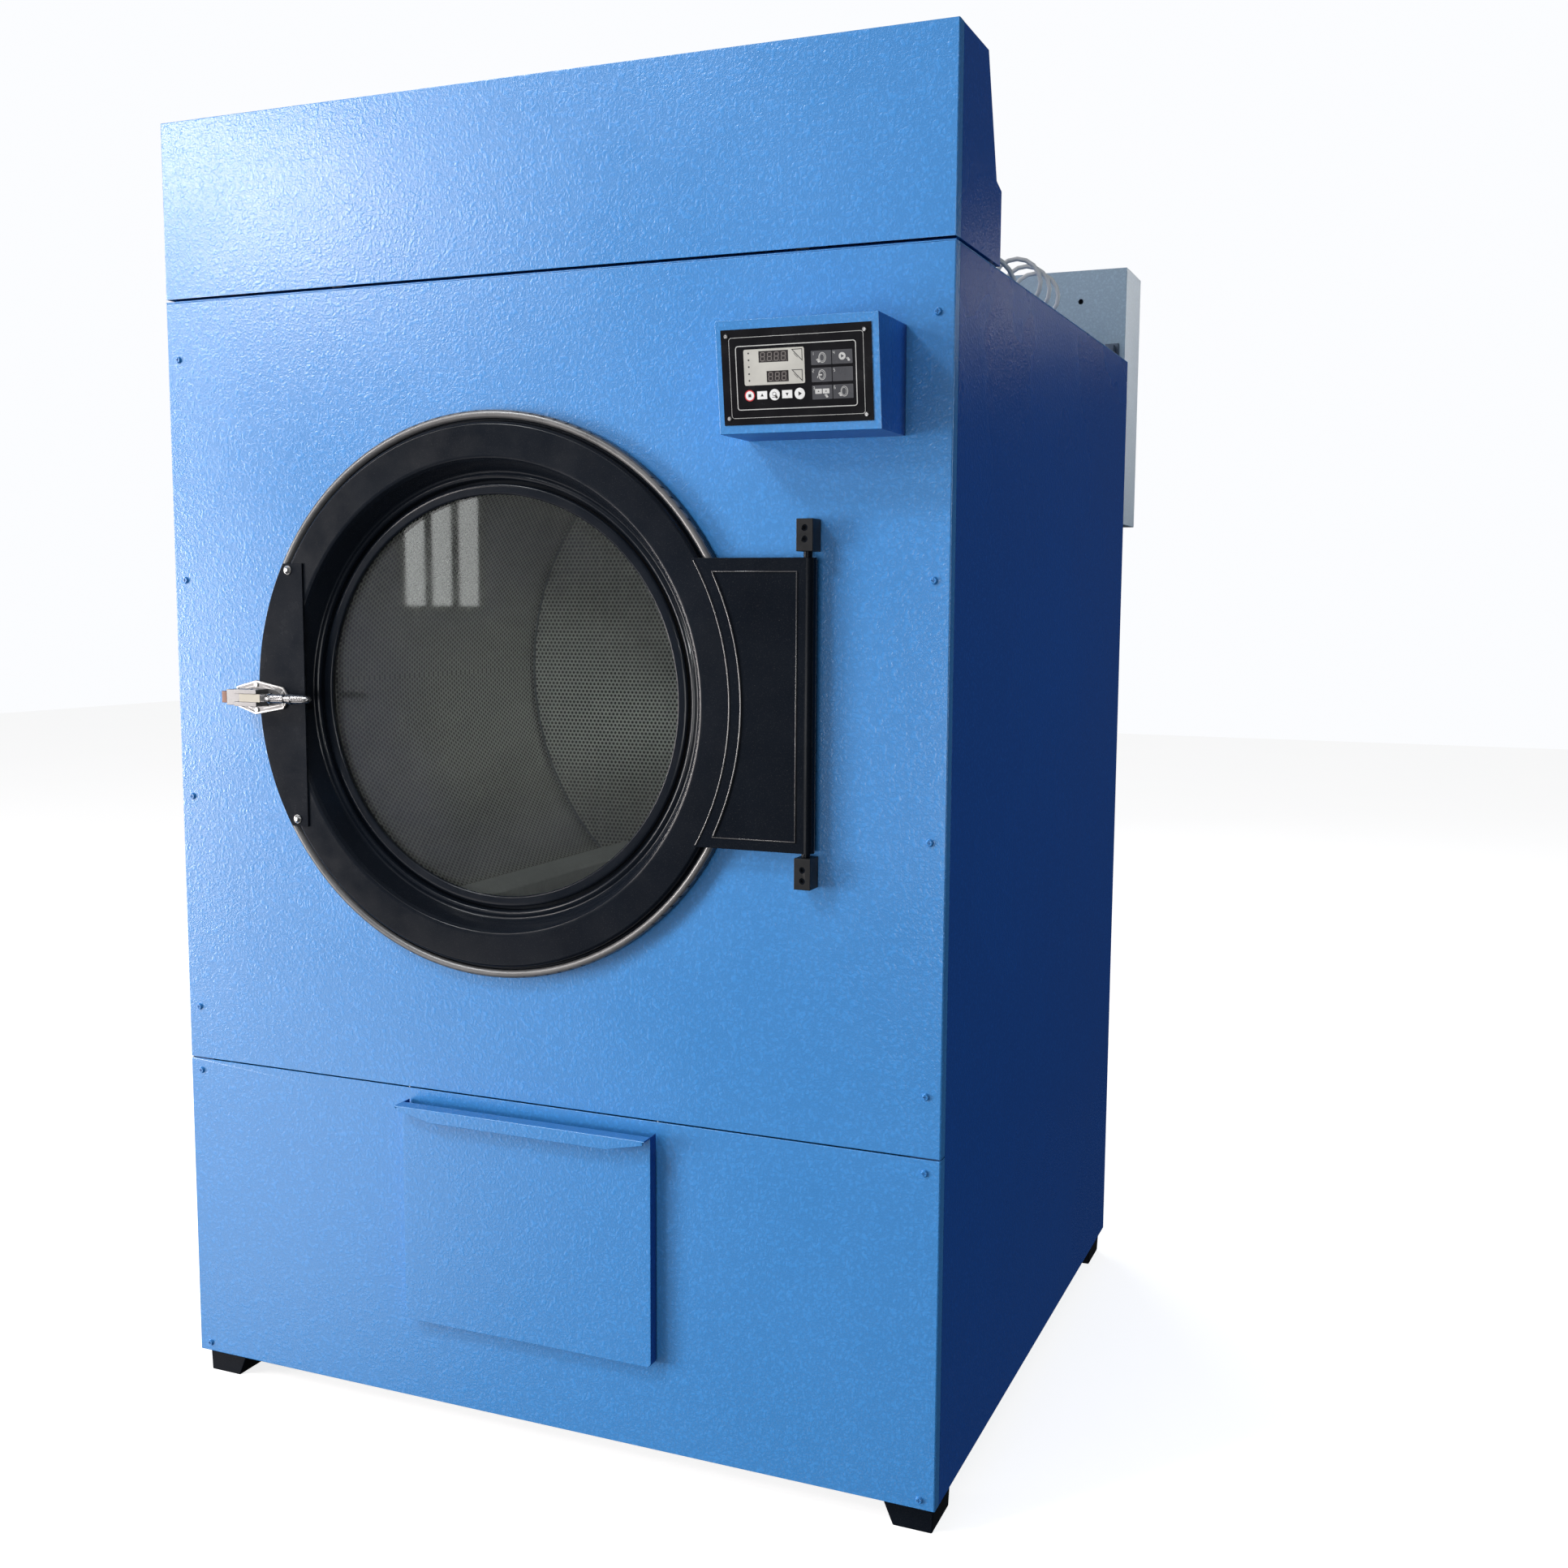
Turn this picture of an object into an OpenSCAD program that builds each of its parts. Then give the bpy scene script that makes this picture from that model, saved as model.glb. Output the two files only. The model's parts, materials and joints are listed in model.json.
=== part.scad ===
// Commercial tumble dryer: cabinet, header, round door, drum, drive, heater, fan and lint drawer.

/* [Cabinet] */
// Width of the cabinet
body_w = 1280; // [1000:10:1500]
// Depth of the cabinet from the front panel to the rear panel
body_d = 1137; // [900:1:1400]
// Height of the cabinet panels
body_h = 1705; // [1400:5:2000]
// Height of the feet under the panels
foot_h = 42; // [20:1:120]
// Height of the joint line between the upper and lower front panels, above the panel bottom
split_h = 500; // [350:5:700]
// Thickness of the cabinet sheet
sheet_t = 2; // [1:0.5:3]
// Side of the square frame tubes
tube_w = 40; // [25:5:60]
// Wall of the frame channels
channel_t = 4; // [2:1:8]

/* [Header] */
// Height of the header above the cabinet
header_h = 265; // [150:5:400]
// Depth of the header at its top
header_top_d = 135; // [100:5:300]
// Depth of the header at its bottom
header_base_d = 212; // [150:1:400]

/* [Heater box] */
// Depth of the heater box behind the cabinet
heater_d = 140; // [80:5:300]
// Height of the heater box
heater_h = 480; // [300:10:700]

/* [Door] */
// Sideways distance from the cabinet's middle to the door's middle
door_x = -52; // [-100:1:100]
// Height of the door's middle above the floor
door_z = 1146; // [900:1:1300]
// Outer radius of the door ring
door_r = 413; // [300:1:500]
// Radius of the visible glass
glass_r = 295; // [200:1:360]
// Radius of the loading mouth in the cabinet
mouth_r = 372; // [300:1:450]
// Sideways position of the door hinge axis
hinge_x = 448; // [380:1:560]
// Distance of the door hinge axis in front of the cabinet
hinge_d = 16; // [12:1:30]

/* [Drum] */
// Outer radius of the drum
drum_r = 538; // [400:1:600]
// Depth of the drum
drum_depth = 934; // [600:1:1000]
// Height of the lifters inside the drum
lifter_h = 70; // [30:5:120]
// Radius of the drum pulley
drum_pulley_r = 270; // [150:5:400]
// Radius of the large intermediate pulley
jack_large_r = 180; // [100:5:250]
// Radius of the small pulleys
small_pulley_r = 45; // [30:5:80]

/* [Lint drawer] */
// Width of the lint drawer front
lint_w = 426; // [300:2:600]
// Height of the lint drawer front
lint_h = 346; // [200:5:450]
// Depth of the lint tray
tray_d = 600; // [300:10:800]

/* [Controls] */
// Left edge of the control box from the cabinet's middle
ctrl_x = 354; // [200:1:450]
// Bottom edge of the control box above the floor
ctrl_z = 1503; // [1300:1:1700]
// Width of the control box
ctrl_w = 222; // [150:1:300]
// Depth of the control box at its bottom
ctrl_d = 92; // [50:1:150]
// Lean of the control face
ctrl_tilt = 7.27; // [0:0.01:20]
// Length of the control face up its slope
ctrl_len = 142.1; // [100:0.1:200]

/* [Exhaust] */
// Radius of the exhaust spigot
exhaust_r = 100; // [60:5:200]
// Length of the exhaust spigot behind the cabinet
exhaust_len = 154; // [50:1:300]

/* [Output] */
// Which sub-part to draw

/* [Hidden] */
$fn = 96;

half_w = body_w / 2;
inner_w = half_w - sheet_t;
panel_z = foot_h;
split_z = panel_z + split_h;
roof_z = panel_z + body_h;
header_gap = 4;
header_z = roof_z + header_gap;
top_z = header_z + header_h;
rear_most = body_d + exhaust_len;
front_most = 110.5;
front_y = -(rear_most - front_most) / 2;
return_d = 20;
seam = 1;
beam_d = 1053;
cross_ds = [300, 800, 1006];

blue = [0.30, 0.52, 0.78];
dark_blue = [0.14, 0.25, 0.45];
grey_blue = [0.45, 0.52, 0.60];
black = [0.10, 0.11, 0.13];
steel = [0.72, 0.73, 0.75];
zinc = [0.60, 0.61, 0.62];
rubber = [0.08, 0.08, 0.09];
chrome = [0.85, 0.85, 0.87];

// Drive positions, across and up, and depths of the two belt planes
jack_x = 230;
jack_z = 740;
motor_x = 350;
motor_z = 330;
plane_a = 1150;
plane_b = 1184;
belt_t = 7;
belt_gap = 0.4;
belt_steps = 60;
groove = 4;
shaft_clear = 0.05;

// Fan position
fan_x0 = -427;
fan_x1 = -215;
fan_d = 880;
fan_z = 330;
fan_out_z = 215;
fan_mid_x = -322;
exhaust_t = 2;

// Filter housing and tray
house_x = 215;
house_z0 = 100;
house_z1 = 547;
house_d1 = 1050;
tray_x = 188;
tray_z0 = 200;
tray_z1 = 500;

// Door depths, measured back from the front panel
ring_face = -25;
plate_t = 3;
latch_z = 1138;
latch_x = -452;
latch_d = -50;

// Block from x0 to x1, from depth d0 to d1 behind the front panel, from z0 to z1
module slab(x0, x1, d0, d1, z0, z1) {
  translate([x0, front_y + d0, z0]) cube([x1 - x0, d1 - d0, z1 - z0]);
}

// Round bar along the depth
module rod_d(x, z, r, d0, d1) {
  translate([x, front_y + d0, z]) rotate([-90, 0, 0]) cylinder(r = r, h = d1 - d0);
}

// Round bar along the height
module rod_z(x, d, r, z0, z1) {
  translate([x, front_y + d, z0]) cylinder(r = r, h = z1 - z0);
}

// Round bar across the width
module rod_x(d, z, r, x0, x1) {
  translate([x0, front_y + d, z]) rotate([0, 90, 0]) cylinder(r = r, h = x1 - x0);
}

// Profile of radius and depth spun round the door axis
module spin_door(points) {
  translate([door_x, front_y, door_z]) rotate([-90, 0, 0]) rotate_extrude($fn = 120) polygon(points);
}

// Flat shape in width and height, given thickness from depth d0 to d1
module plate_xz(d0, d1) {
  translate([0, front_y + d1, 0]) rotate([90, 0, 0]) linear_extrude(height = d1 - d0) children();
}

// Flat shape in depth and height, given thickness from x0 to x1
module plate_dz(x0, x1) {
  translate([x0, front_y, 0]) rotate([90, 0, 90]) linear_extrude(height = x1 - x0) children();
}

// Frame of the sloping control face: x across, y up the slope, z outwards
module on_fascia() {
  translate([ctrl_x, front_y - ctrl_d, ctrl_z]) rotate([90 + ctrl_tilt, 0, 0]) children();
}

// Steel channel in place of a block; side names the face that is open
module channel(x0, x1, d0, d1, z0, z1, side) {
  t = channel_t;
  far = 1;
  difference() {
    slab(x0, x1, d0, d1, z0, z1);
    if (side == "left") slab(x0 - far, x1 - t, d0 + t, d1 - t, z0 + t, z1 - t);
    if (side == "right") slab(x0 + t, x1 + far, d0 + t, d1 - t, z0 + t, z1 - t);
    if (side == "front") slab(x0 + t, x1 - t, d0 - far, d1 - t, z0 + t, z1 - t);
    if (side == "back") slab(x0 + t, x1 - t, d0 + t, d1 + far, z0 + t, z1 - t);
    if (side == "up") slab(x0 + t, x1 - t, d0 + t, d1 - t, z0 + t, z1 + far);
    if (side == "down") slab(x0 + t, x1 - t, d0 + t, d1 - t, z0 - far, z1 - t);
  }
}

module frame() {
  top = roof_z - sheet_t;
  w = tube_w;
  rear = body_d - sheet_t;
  color(dark_blue) difference() {
    union() {
      for (z = [panel_z, top - w]) {
        channel(-inner_w, inner_w, 4, 4 + w, z, z + w, "back");
        channel(-inner_w, inner_w, rear - w, rear, z, z + w, "front");
        channel(inner_w - w, inner_w, 4, rear, z, z + w, "left");
        channel(-inner_w, -inner_w + w, 4, rear, z, z + w, "right");
      }
      for (d = [4, rear - 82]) {
        deep = d < 100 ? w : 82;
        channel(inner_w - w, inner_w, d, d + deep, panel_z, top, "left");
        channel(-inner_w, -inner_w + w, d, d + deep, panel_z, top, "right");
      }
      // Cross channels under the housing, motor and fan
      for (d = cross_ds) channel(-inner_w, inner_w, d, d + w, panel_z, panel_z + w, "down");
      // Rear beams that carry the drum and jack bearings
      channel(-inner_w, inner_w, beam_d, beam_d + w, 1006, 1006 + w, "down");
      channel(-inner_w, inner_w, beam_d, beam_d + w, 1246, 1246 + w, "up");
      channel(-inner_w, inner_w, beam_d, beam_d + w, 720, 720 + w, "down");
      // Motor pedestal
      slab(280, 420, 800, 1046, 232, 238);
      for (x = [280, 414]) slab(x, x + 6, 800, 1046, 82, 232);
      // Fan motor pedestal
      slab(-590, -440, 800, 960, 247, 253);
      for (x = [-590, -446]) slab(x, x + 6, 800, 840, 82, 247);
    }
    // Clear way for the jack shaft
    rod_d(jack_x, jack_z, 18, beam_d - 1, beam_d + w + 1);
  }
}

module foot_block(s) {
  translate([0, front_y, 0]) scale([s, 1, 1]) rotate([90, 0, 0]) translate([0, 0, -80])
    linear_extrude(height = 80) polygon([[574, 0], [632, 0], [634, foot_h], [556, foot_h]]);
}

module feet() {
  color(black) for (s = [-1, 1]) for (d = [16, body_d - 96]) translate([0, d, 0]) foot_block(s);
}

module side_sheet(x0) {
  slab(x0, x0 + sheet_t, return_d + seam, body_d, panel_z, roof_z - sheet_t);
}

module side_panel_left() {
  color(blue) side_sheet(-half_w);
}

module side_panel_right() {
  color(blue) side_sheet(half_w - sheet_t);
}

module front_sheet(z0, z1) {
  slab(-half_w, half_w, 0, sheet_t, z0, z1);
  slab(-half_w, -half_w + sheet_t, 0, return_d, z0, z1);
  slab(half_w - sheet_t, half_w, 0, return_d, z0, z1);
}

screw_x = 618;
upper_screw_z = [628, 973, 1317, 1658];
lower_screw_z = [56, 522];

module front_panel_upper() {
  color(blue) difference() {
    front_sheet(split_z + 1, roof_z - sheet_t);
    rod_d(door_x, door_z, mouth_r, -1, 3);
    for (s = [-1, 1]) for (z = upper_screw_z) rod_d(s * screw_x, z, 3.2, -1, 3);
  }
}

module front_panel_lower() {
  color(blue) difference() {
    front_sheet(panel_z, split_z - 1);
    slab(-tray_x - 4, tray_x + 4, -1, 3, tray_z0 - 8, tray_z1 + 8);
    for (s = [-1, 1]) for (z = lower_screw_z) rod_d(s * screw_x, z, 3.2, -1, 3);
  }
}

module panel_screws() {
  color(blue) for (s = [-1, 1]) for (z = concat(upper_screw_z, lower_screw_z)) {
    rod_d(s * screw_x, z, 3, -0.5, 3.6);
    difference() {
      translate([s * screw_x, front_y, z]) rotate([90, 0, 0]) cylinder(r1 = 5.4, r2 = 3.6, h = 3.4);
      slab(s * screw_x - 0.6, s * screw_x + 0.6, -4, -1.6, z - 3, z + 3);
      slab(s * screw_x - 3, s * screw_x + 3, -4, -1.6, z - 0.6, z + 0.6);
    }
  }
}

module rear_panel() {
  color(grey_blue) difference() {
    slab(-inner_w, inner_w, body_d - sheet_t, body_d, panel_z, roof_z - sheet_t);
    rod_d(door_x, door_z, 60, body_d - 3, body_d + 1);
    rod_d(jack_x, jack_z, 40, body_d - 3, body_d + 1);
    rod_d(motor_x, motor_z, 40, body_d - 3, body_d + 1);
    rod_d(fan_mid_x, fan_out_z, exhaust_r + 2, body_d - 3, body_d + 1);
    slab(-400, 400, body_d - 3, body_d + 1, 1490, 1700);
  }
}

module roof_panel() {
  color(dark_blue) slab(-half_w, half_w, 0, body_d, roof_z - sheet_t, roof_z);
}

module header_front() {
  color(blue) {
    slab(-half_w, half_w, 0, sheet_t, header_z, top_z);
    slab(-half_w, -half_w + sheet_t, 0, return_d, header_z, top_z);
    slab(half_w - sheet_t, half_w, 0, return_d, header_z, top_z);
    slab(-half_w, half_w, 0, return_d, top_z - sheet_t, top_z);
  }
}

module header_shell() {
  t = sheet_t;
  color(dark_blue) {
    difference() {
      plate_dz(-half_w, half_w) polygon([[return_d + seam, header_z], [return_d + seam, top_z],
        [header_top_d, top_z], [186, 1860], [header_base_d, 1852], [header_base_d, header_z]]);
      plate_dz(-inner_w, inner_w) polygon([[0, header_z + t], [0, top_z - t],
        [header_top_d - 1.5, top_z - t], [184.3, 1858.4], [header_base_d - t, 1850.4],
        [header_base_d - t, header_z + t]]);
    }
    slab(-half_w + 14, half_w - 14, 30, 200, roof_z, header_z);
  }
}

module electrics() {
  color(zinc) {
    slab(-420, 420, 100, 103, 1790, 1960);
    // Drive inverter, contactors and terminal strip
    slab(-380, -240, 50, 100, 1800, 1950);
    for (i = [0 : 3]) slab(-180 + i * 70, -126 + i * 70, 45, 100, 1840, 1925);
    slab(150, 390, 70, 100, 1850, 1890);
    // Feet to the header floor
    for (x = [-400, 380]) slab(x, x + 20, 100, 103, header_z + sheet_t, 1790);
  }
}

// Tub round the drum, its front bulkhead, loading mouth and outlet chute
module drum_casing() {
  r_in = drum_r + 32;
  t = 1.5;
  color(steel) {
    difference() {
      union() {
        rod_d(door_x, door_z, r_in + t, 46, 1002);
        slab(-213, -211, 120, 600, house_z1, 800);
        slab(211, 213, 120, 600, house_z1, 800);
        slab(-213, 213, 118, 120, house_z1, 800);
        slab(-213, 213, 600, 602, house_z1, 800);
      }
      rod_d(door_x, door_z, r_in, 40, 1000.5);
      rod_d(door_x, door_z, drum_r + 7, 900, 1010);
      slab(-211, 211, 120, 600, house_z1 - 1, 900);
    }
    difference() {
      slab(-630, 630, 44, 46, house_z1, roof_z - sheet_t - tube_w - 2);
      rod_d(door_x, door_z, mouth_r, 40, 50);
    }
    difference() {
      rod_d(door_x, door_z, mouth_r + 2, sheet_t, 62);
      rod_d(door_x, door_z, mouth_r, 0, 70);
    }
  }
}

// Box under the drum that holds the lint tray and leads the air to the fan
module filter_housing() {
  t = 2;
  color(steel) difference() {
    union() {
      difference() {
        slab(-house_x, house_x, sheet_t, house_d1, house_z0, house_z1);
        slab(-house_x + t, house_x - t, 0, house_d1 - t, house_z0 + t, house_z1 - t);
      }
      // Wall behind the tray, open under it
      slab(-house_x + t, house_x - t, tray_d + 30, tray_d + 32, tray_z0 + 20, house_z1 - t);
      // Rails under the tray
      for (s = [-1, 1]) {
        x0 = s > 0 ? 183 : -house_x + t;
        slab(x0, x0 + 30, 10, tray_d + 24, tray_z0 - 6, tray_z0 - 0.3);
      }
    }
    slab(-211, 211, 120, 600, house_z1 - 5, house_z1 + 1);
    rod_x(fan_d, fan_z, 110, -house_x - 1, -house_x + t + 1);
  }
}

module heater_box() {
  z0 = roof_z - 305;
  t = 1.5;
  color(grey_blue) difference() {
    slab(-634, 634, body_d, body_d + heater_d, z0, z0 + heater_h);
    slab(-634 + t, 634 - t, body_d + t, body_d + heater_d - t, z0 + t, z0 + heater_h - t);
    slab(-400, 400, body_d - 1, body_d + t + 1, 1490, 1700);
    rod_d(547, 1864, 5, body_d - 1, body_d + t + 1);
    for (i = [0 : 7]) slab(-360, 360, body_d + heater_d - t - 1, body_d + heater_d + 1,
      1500 + i * 46, 1514 + i * 46);
  }
}

module heater_elements() {
  color(steel) {
    for (x = [-410, 408]) slab(x, x + 2, 1160, 1256, 1476, 1714);
    for (j = [0, 1]) for (i = [0 : 4]) rod_x(1184 + j * 48, 1502 + i * 46, 7, -409, 409);
    // Feet to the box's floor
    for (x = [-410, 408]) slab(x, x + 2, 1180, 1236, roof_z - 303.5, 1476);
  }
}

module heater_latch() {
  color(black) {
    slab(596, 622, body_d - 3, body_d, 1756, 1782);
    slab(603, 615, body_d - 13, body_d - 3, 1760, 1778);
  }
}

module fan_housing() {
  t = 2;
  r = 215;
  color(zinc) {
    difference() {
      union() {
        rod_x(fan_d, fan_z, r, fan_x0, fan_x1);
        slab(fan_x0, fan_x1, fan_d, body_d - 4, fan_z - r, fan_z - 15);
      }
      rod_x(fan_d, fan_z, r - t, fan_x0 + t, fan_x1 - t);
      slab(fan_x0 + t, fan_x1 - t, fan_d, body_d - 4 - t, fan_z - r + t, fan_z - 15 - t);
      rod_x(fan_d, fan_z, 110, fan_x1 - 3, fan_x1 + 1);
      rod_x(fan_d, fan_z, 16, fan_x0 - 1, fan_x0 + 3);
      rod_d(fan_mid_x, fan_out_z, exhaust_r - exhaust_t, body_d - 8, body_d);
    }
    difference() {
      rod_d(fan_mid_x, fan_out_z, exhaust_r, body_d - 4 - t, rear_most);
      rod_d(fan_mid_x, fan_out_z, exhaust_r - exhaust_t, body_d - 8, rear_most + 1);
    }
  }
}

module fan_motor() {
  color(grey_blue) difference() {
    union() {
      rod_x(fan_d, fan_z, 72, -590, -455);
      rod_x(fan_d, fan_z, 45, -455, fan_x0);
      slab(-580, -460, fan_d - 50, fan_d + 50, 253, fan_z);
      rod_x(fan_d, fan_z, 50, -600, -590);
    }
    rod_x(fan_d, fan_z, 12 + shaft_clear, -500, fan_x0 + 1);
  }
}

module fan_impeller() {
  color(steel) {
    rod_x(fan_d, fan_z, 12, -499, -300);
    rod_x(fan_d, fan_z, 150, -416, -413);
    rod_x(fan_d, fan_z, 28, -413, -372);
    for (i = [0 : 11]) translate([-413, front_y + fan_d, fan_z]) rotate([i * 30, 0, 0])
      translate([0, 90, -1]) cube([130, 58, 2]);
    translate([-283, front_y + fan_d, fan_z]) rotate([0, 90, 0]) difference() {
      cylinder(r = 150, h = 3);
      translate([0, 0, -1]) cylinder(r = 105, h = 5);
    }
  }
}

// Flanged bearing on a beam face; s is the side the hub stands out on
module flange_bearing(x, z, d0, w, hub_r, bore, t, hub) {
  difference() {
    union() {
      slab(x - w / 2, x + w / 2, d0, d0 + t, z - w / 2, z + w / 2);
      rod_d(x, z, hub_r, hub > 0 ? d0 : d0 + hub, hub > 0 ? d0 + t + hub : d0 + t);
    }
    rod_d(x, z, bore + shaft_clear, d0 - 40, d0 + 40);
  }
}

module bearing_housings() {
  color(grey_blue) {
    flange_bearing(door_x, door_z, 1035, 270, 70, 30, 18, -14);
    flange_bearing(door_x, door_z, 1093, 270, 70, 30, 18, 14);
    flange_bearing(jack_x, jack_z, 1041, 96, 34, 15, 12, -10);
    flange_bearing(jack_x, jack_z, 1093, 96, 34, 15, 12, 10);
  }
}

module drum_motor() {
  color(grey_blue) difference() {
    union() {
      rod_d(motor_x, motor_z, 88, 830, 1010);
      rod_d(motor_x, motor_z, 70, 1010, 1040);
      rod_d(motor_x, motor_z, 80, 800, 830);
      slab(motor_x - 60, motor_x + 60, 850, 1000, 238, motor_z);
      slab(motor_x - 50, motor_x + 50, 870, 960, motor_z, motor_z + 115);
    }
    rod_d(motor_x, motor_z, 14 + shaft_clear, 960, 1041);
  }
}

// Flat belt pulley with side flanges and a hub
module pulley(x, z, r, d0, w, hub_r) {
  rod_d(x, z, r - groove, d0, d0 + w);
  rod_d(x, z, r, d0, d0 + 4);
  rod_d(x, z, r, d0 + w - 4, d0 + w);
  rod_d(x, z, hub_r, d0 - 4, d0 + w + 4);
}

module motor_pulley() {
  color(zinc) {
    rod_d(motor_x, motor_z, 14, 961, plane_b + 28);
    pulley(motor_x, motor_z, small_pulley_r, plane_b, 24, 24);
  }
}

module jack_pulley() {
  color(zinc) {
    rod_d(jack_x, jack_z, 15, 1031, plane_b + 30);
    pulley(jack_x, jack_z, small_pulley_r, plane_a, 28, 26);
    pulley(jack_x, jack_z, jack_large_r, plane_b, 24, 30);
  }
}

// Middle line of a belt over two pulleys a given distance apart
function belt_line(r1, r2, apart) = let (open = acos((r1 - r2) / apart)) concat(
  [for (i = [0 : belt_steps]) let (a = open + (360 - 2 * open) * i / belt_steps) [r1 * cos(a), r1 * sin(a)]],
  [for (i = [0 : belt_steps]) let (a = open * (2 * i / belt_steps - 1)) [apart + r2 * cos(a), r2 * sin(a)]]);

// Belt over two pulleys, from depth d0 to d1; r1 and r2 are its inner radii
module belt(x1, z1, r1, x2, z2, r2, d0, d1) {
  apart = norm([x2 - x1, z2 - z1]);
  translate([x1, front_y + d1, z1]) rotate([90, 0, 0]) rotate([0, 0, atan2(z2 - z1, x2 - x1)])
    linear_extrude(height = d1 - d0) difference() {
      polygon(belt_line(r1 + belt_t, r2 + belt_t, apart));
      polygon(belt_line(r1, r2, apart));
    }
}

module motor_belt() {
  color(rubber) belt(jack_x, jack_z, jack_large_r - groove + belt_gap, motor_x, motor_z,
    small_pulley_r - groove + belt_gap, plane_b + 5, plane_b + 19);
}

module drum_belt() {
  color(rubber) belt(door_x, door_z, drum_pulley_r - groove + belt_gap, jack_x, jack_z,
    small_pulley_r - groove + belt_gap, plane_a + 5, plane_a + 23);
}

module belt_guard() {
  outline = [[-335, 860], [-335, 1432], [235, 1432], [430, 900], [430, 270], [270, 270], [30, 600]];
  t = 1.5;
  color(dark_blue) difference() {
    plate_xz(body_d, plane_b + 42) polygon(outline);
    plate_xz(body_d - 1, plane_b + 42 - t) offset(delta = -t) polygon(outline);
  }
}

module control_box() {
  t = 1.5;
  top_d = ctrl_d + ctrl_len * sin(ctrl_tilt);
  top_h = ctrl_len * cos(ctrl_tilt);
  color(blue) difference() {
    plate_dz(ctrl_x, ctrl_x + ctrl_w) polygon([[0, ctrl_z], [-ctrl_d, ctrl_z],
      [-top_d, ctrl_z + top_h], [0, ctrl_z + top_h]]);
    plate_dz(ctrl_x + t, ctrl_x + ctrl_w - t) polygon([[1, ctrl_z + t], [-ctrl_d + t, ctrl_z + t],
      [-top_d + t, ctrl_z + top_h - t], [1, ctrl_z + top_h - t]]);
    on_fascia() translate([26, 24, -5]) cube([170, 92, 10]);
    for (p = screw_spots) on_fascia() translate([p[0], p[1], -5]) cylinder(r = 1.6, h = 10);
  }
}

// Control face: overlay, its screws, the key spots and the display windows
overlay_x0 = 8;
overlay_x1 = 212;
overlay_y0 = 11;
overlay_y1 = 130;
overlay_t = 1;
screw_spots = [[15.5, 19.5], [203, 18.5], [15.5, 122], [203, 121]];
key_y = 47.5;
key_xs = [45.3, 62.5, 79.7, 96.9, 114.1];
key_r = 7;
key_clear = 0.3;
key_travel = 0.8;

module key_outline(i, grow) {
  if (i == 1 || i == 3) translate([-6.9 - grow, -5 - grow]) square([13.8 + 2 * grow, 10 + 2 * grow]);
  if (i != 1 && i != 3) circle(r = key_r + grow);
}

module control_overlay() {
  color(black) on_fascia() difference() {
    translate([overlay_x0, overlay_y0, 0]) cube([overlay_x1 - overlay_x0, overlay_y1 - overlay_y0, overlay_t]);
    for (p = screw_spots) translate([p[0], p[1], -1]) cylinder(r = 1.6, h = 5);
    for (i = [0 : 4]) translate([key_xs[i], key_y, -1]) linear_extrude(height = 5) key_outline(i, key_clear);
    // Windows for the two displays
    translate([59.4, 142 - 54.4, -1]) cube([41, 14.4, 4]);
    translate([69.6, 142 - 79, -1]) cube([30.4, 14.2, 4]);
  }
}

module control_board() {
  color([0.12, 0.35, 0.20]) on_fascia() {
    translate([28, 26, -14]) cube([166, 88, 1.6]);
    // Displays behind their windows
    translate([60, 142 - 54, -12.4]) cube([40, 13.6, 12.9]);
    translate([70, 142 - 78.6, -12.4]) cube([29.6, 13.4, 12.9]);
    // Key switches
    for (x = key_xs) translate([x - 3, key_y - 3, -12.4]) cube([6, 6, 4]);
    // Stand-offs to the face
    for (x = [30, 188]) for (y = [28, 108]) translate([x, y, -12.4]) cube([4, 4, 12.4]);
  }
}

module overlay_screws() {
  color(chrome) on_fascia() for (p = screw_spots) translate([p[0], p[1], 0]) {
    translate([0, 0, -4]) cylinder(r = 1.5, h = 6);
    difference() {
      translate([0, 0, overlay_t]) cylinder(r1 = 3.1, r2 = 2.2, h = 1.8);
      translate([-2, -0.4, overlay_t + 1]) cube([4, 0.8, 2]);
      translate([-0.4, -2, overlay_t + 1]) cube([0.8, 4, 2]);
    }
  }
}

module key(i) {
  on_fascia() translate([key_xs[i], key_y, 0]) {
    translate([0, 0, -0.5]) linear_extrude(height = overlay_t + 0.9) key_outline(i, 0);
    translate([0, 0, -7.4]) cylinder(r = 2, h = 7.2);
  }
}

module key_stop() {
  color([0.85, 0.25, 0.25]) key(0);
}

module key_up() {
  color([0.9, 0.9, 0.9]) key(1);
}

module key_set() {
  color([0.9, 0.9, 0.9]) key(2);
}

module key_down() {
  color([0.9, 0.9, 0.9]) key(3);
}

module key_run() {
  color([0.8, 0.88, 0.86]) key(4);
}

// Hinge parts: the pin-side face of each block, and the direction of its far end
hinge_zs = [[1355, 1], [945, -1]];
block_h = 43;
pin_r = 6;
pin_in = 9;

module hinge_blocks() {
  color(black) for (b = hinge_zs) {
    z0 = b[1] > 0 ? b[0] : b[0] - block_h;
    difference() {
      slab(hinge_x - 12, hinge_x + 12, -30, 0, z0, z0 + block_h);
      rod_z(hinge_x, -hinge_d, pin_r + shaft_clear,
        b[1] > 0 ? z0 - 1 : z0 + block_h - pin_in - 1, b[1] > 0 ? z0 + pin_in + 1 : z0 + block_h + 1);
      for (k = [16, 31]) {
        rod_d(hinge_x, b[0] + b[1] * k, 3, -31, 1);
        rod_d(hinge_x, b[0] + b[1] * k, 4.6, -31, -23);
      }
    }
  }
}

module hinge_screws() {
  color(black) for (b = hinge_zs) for (k = [16, 31]) difference() {
    rod_d(hinge_x, b[0] + b[1] * k, 4.5, -28, -23);
    rod_d(hinge_x, b[0] + b[1] * k, 2.2, -29, -25);
  }
}

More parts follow.
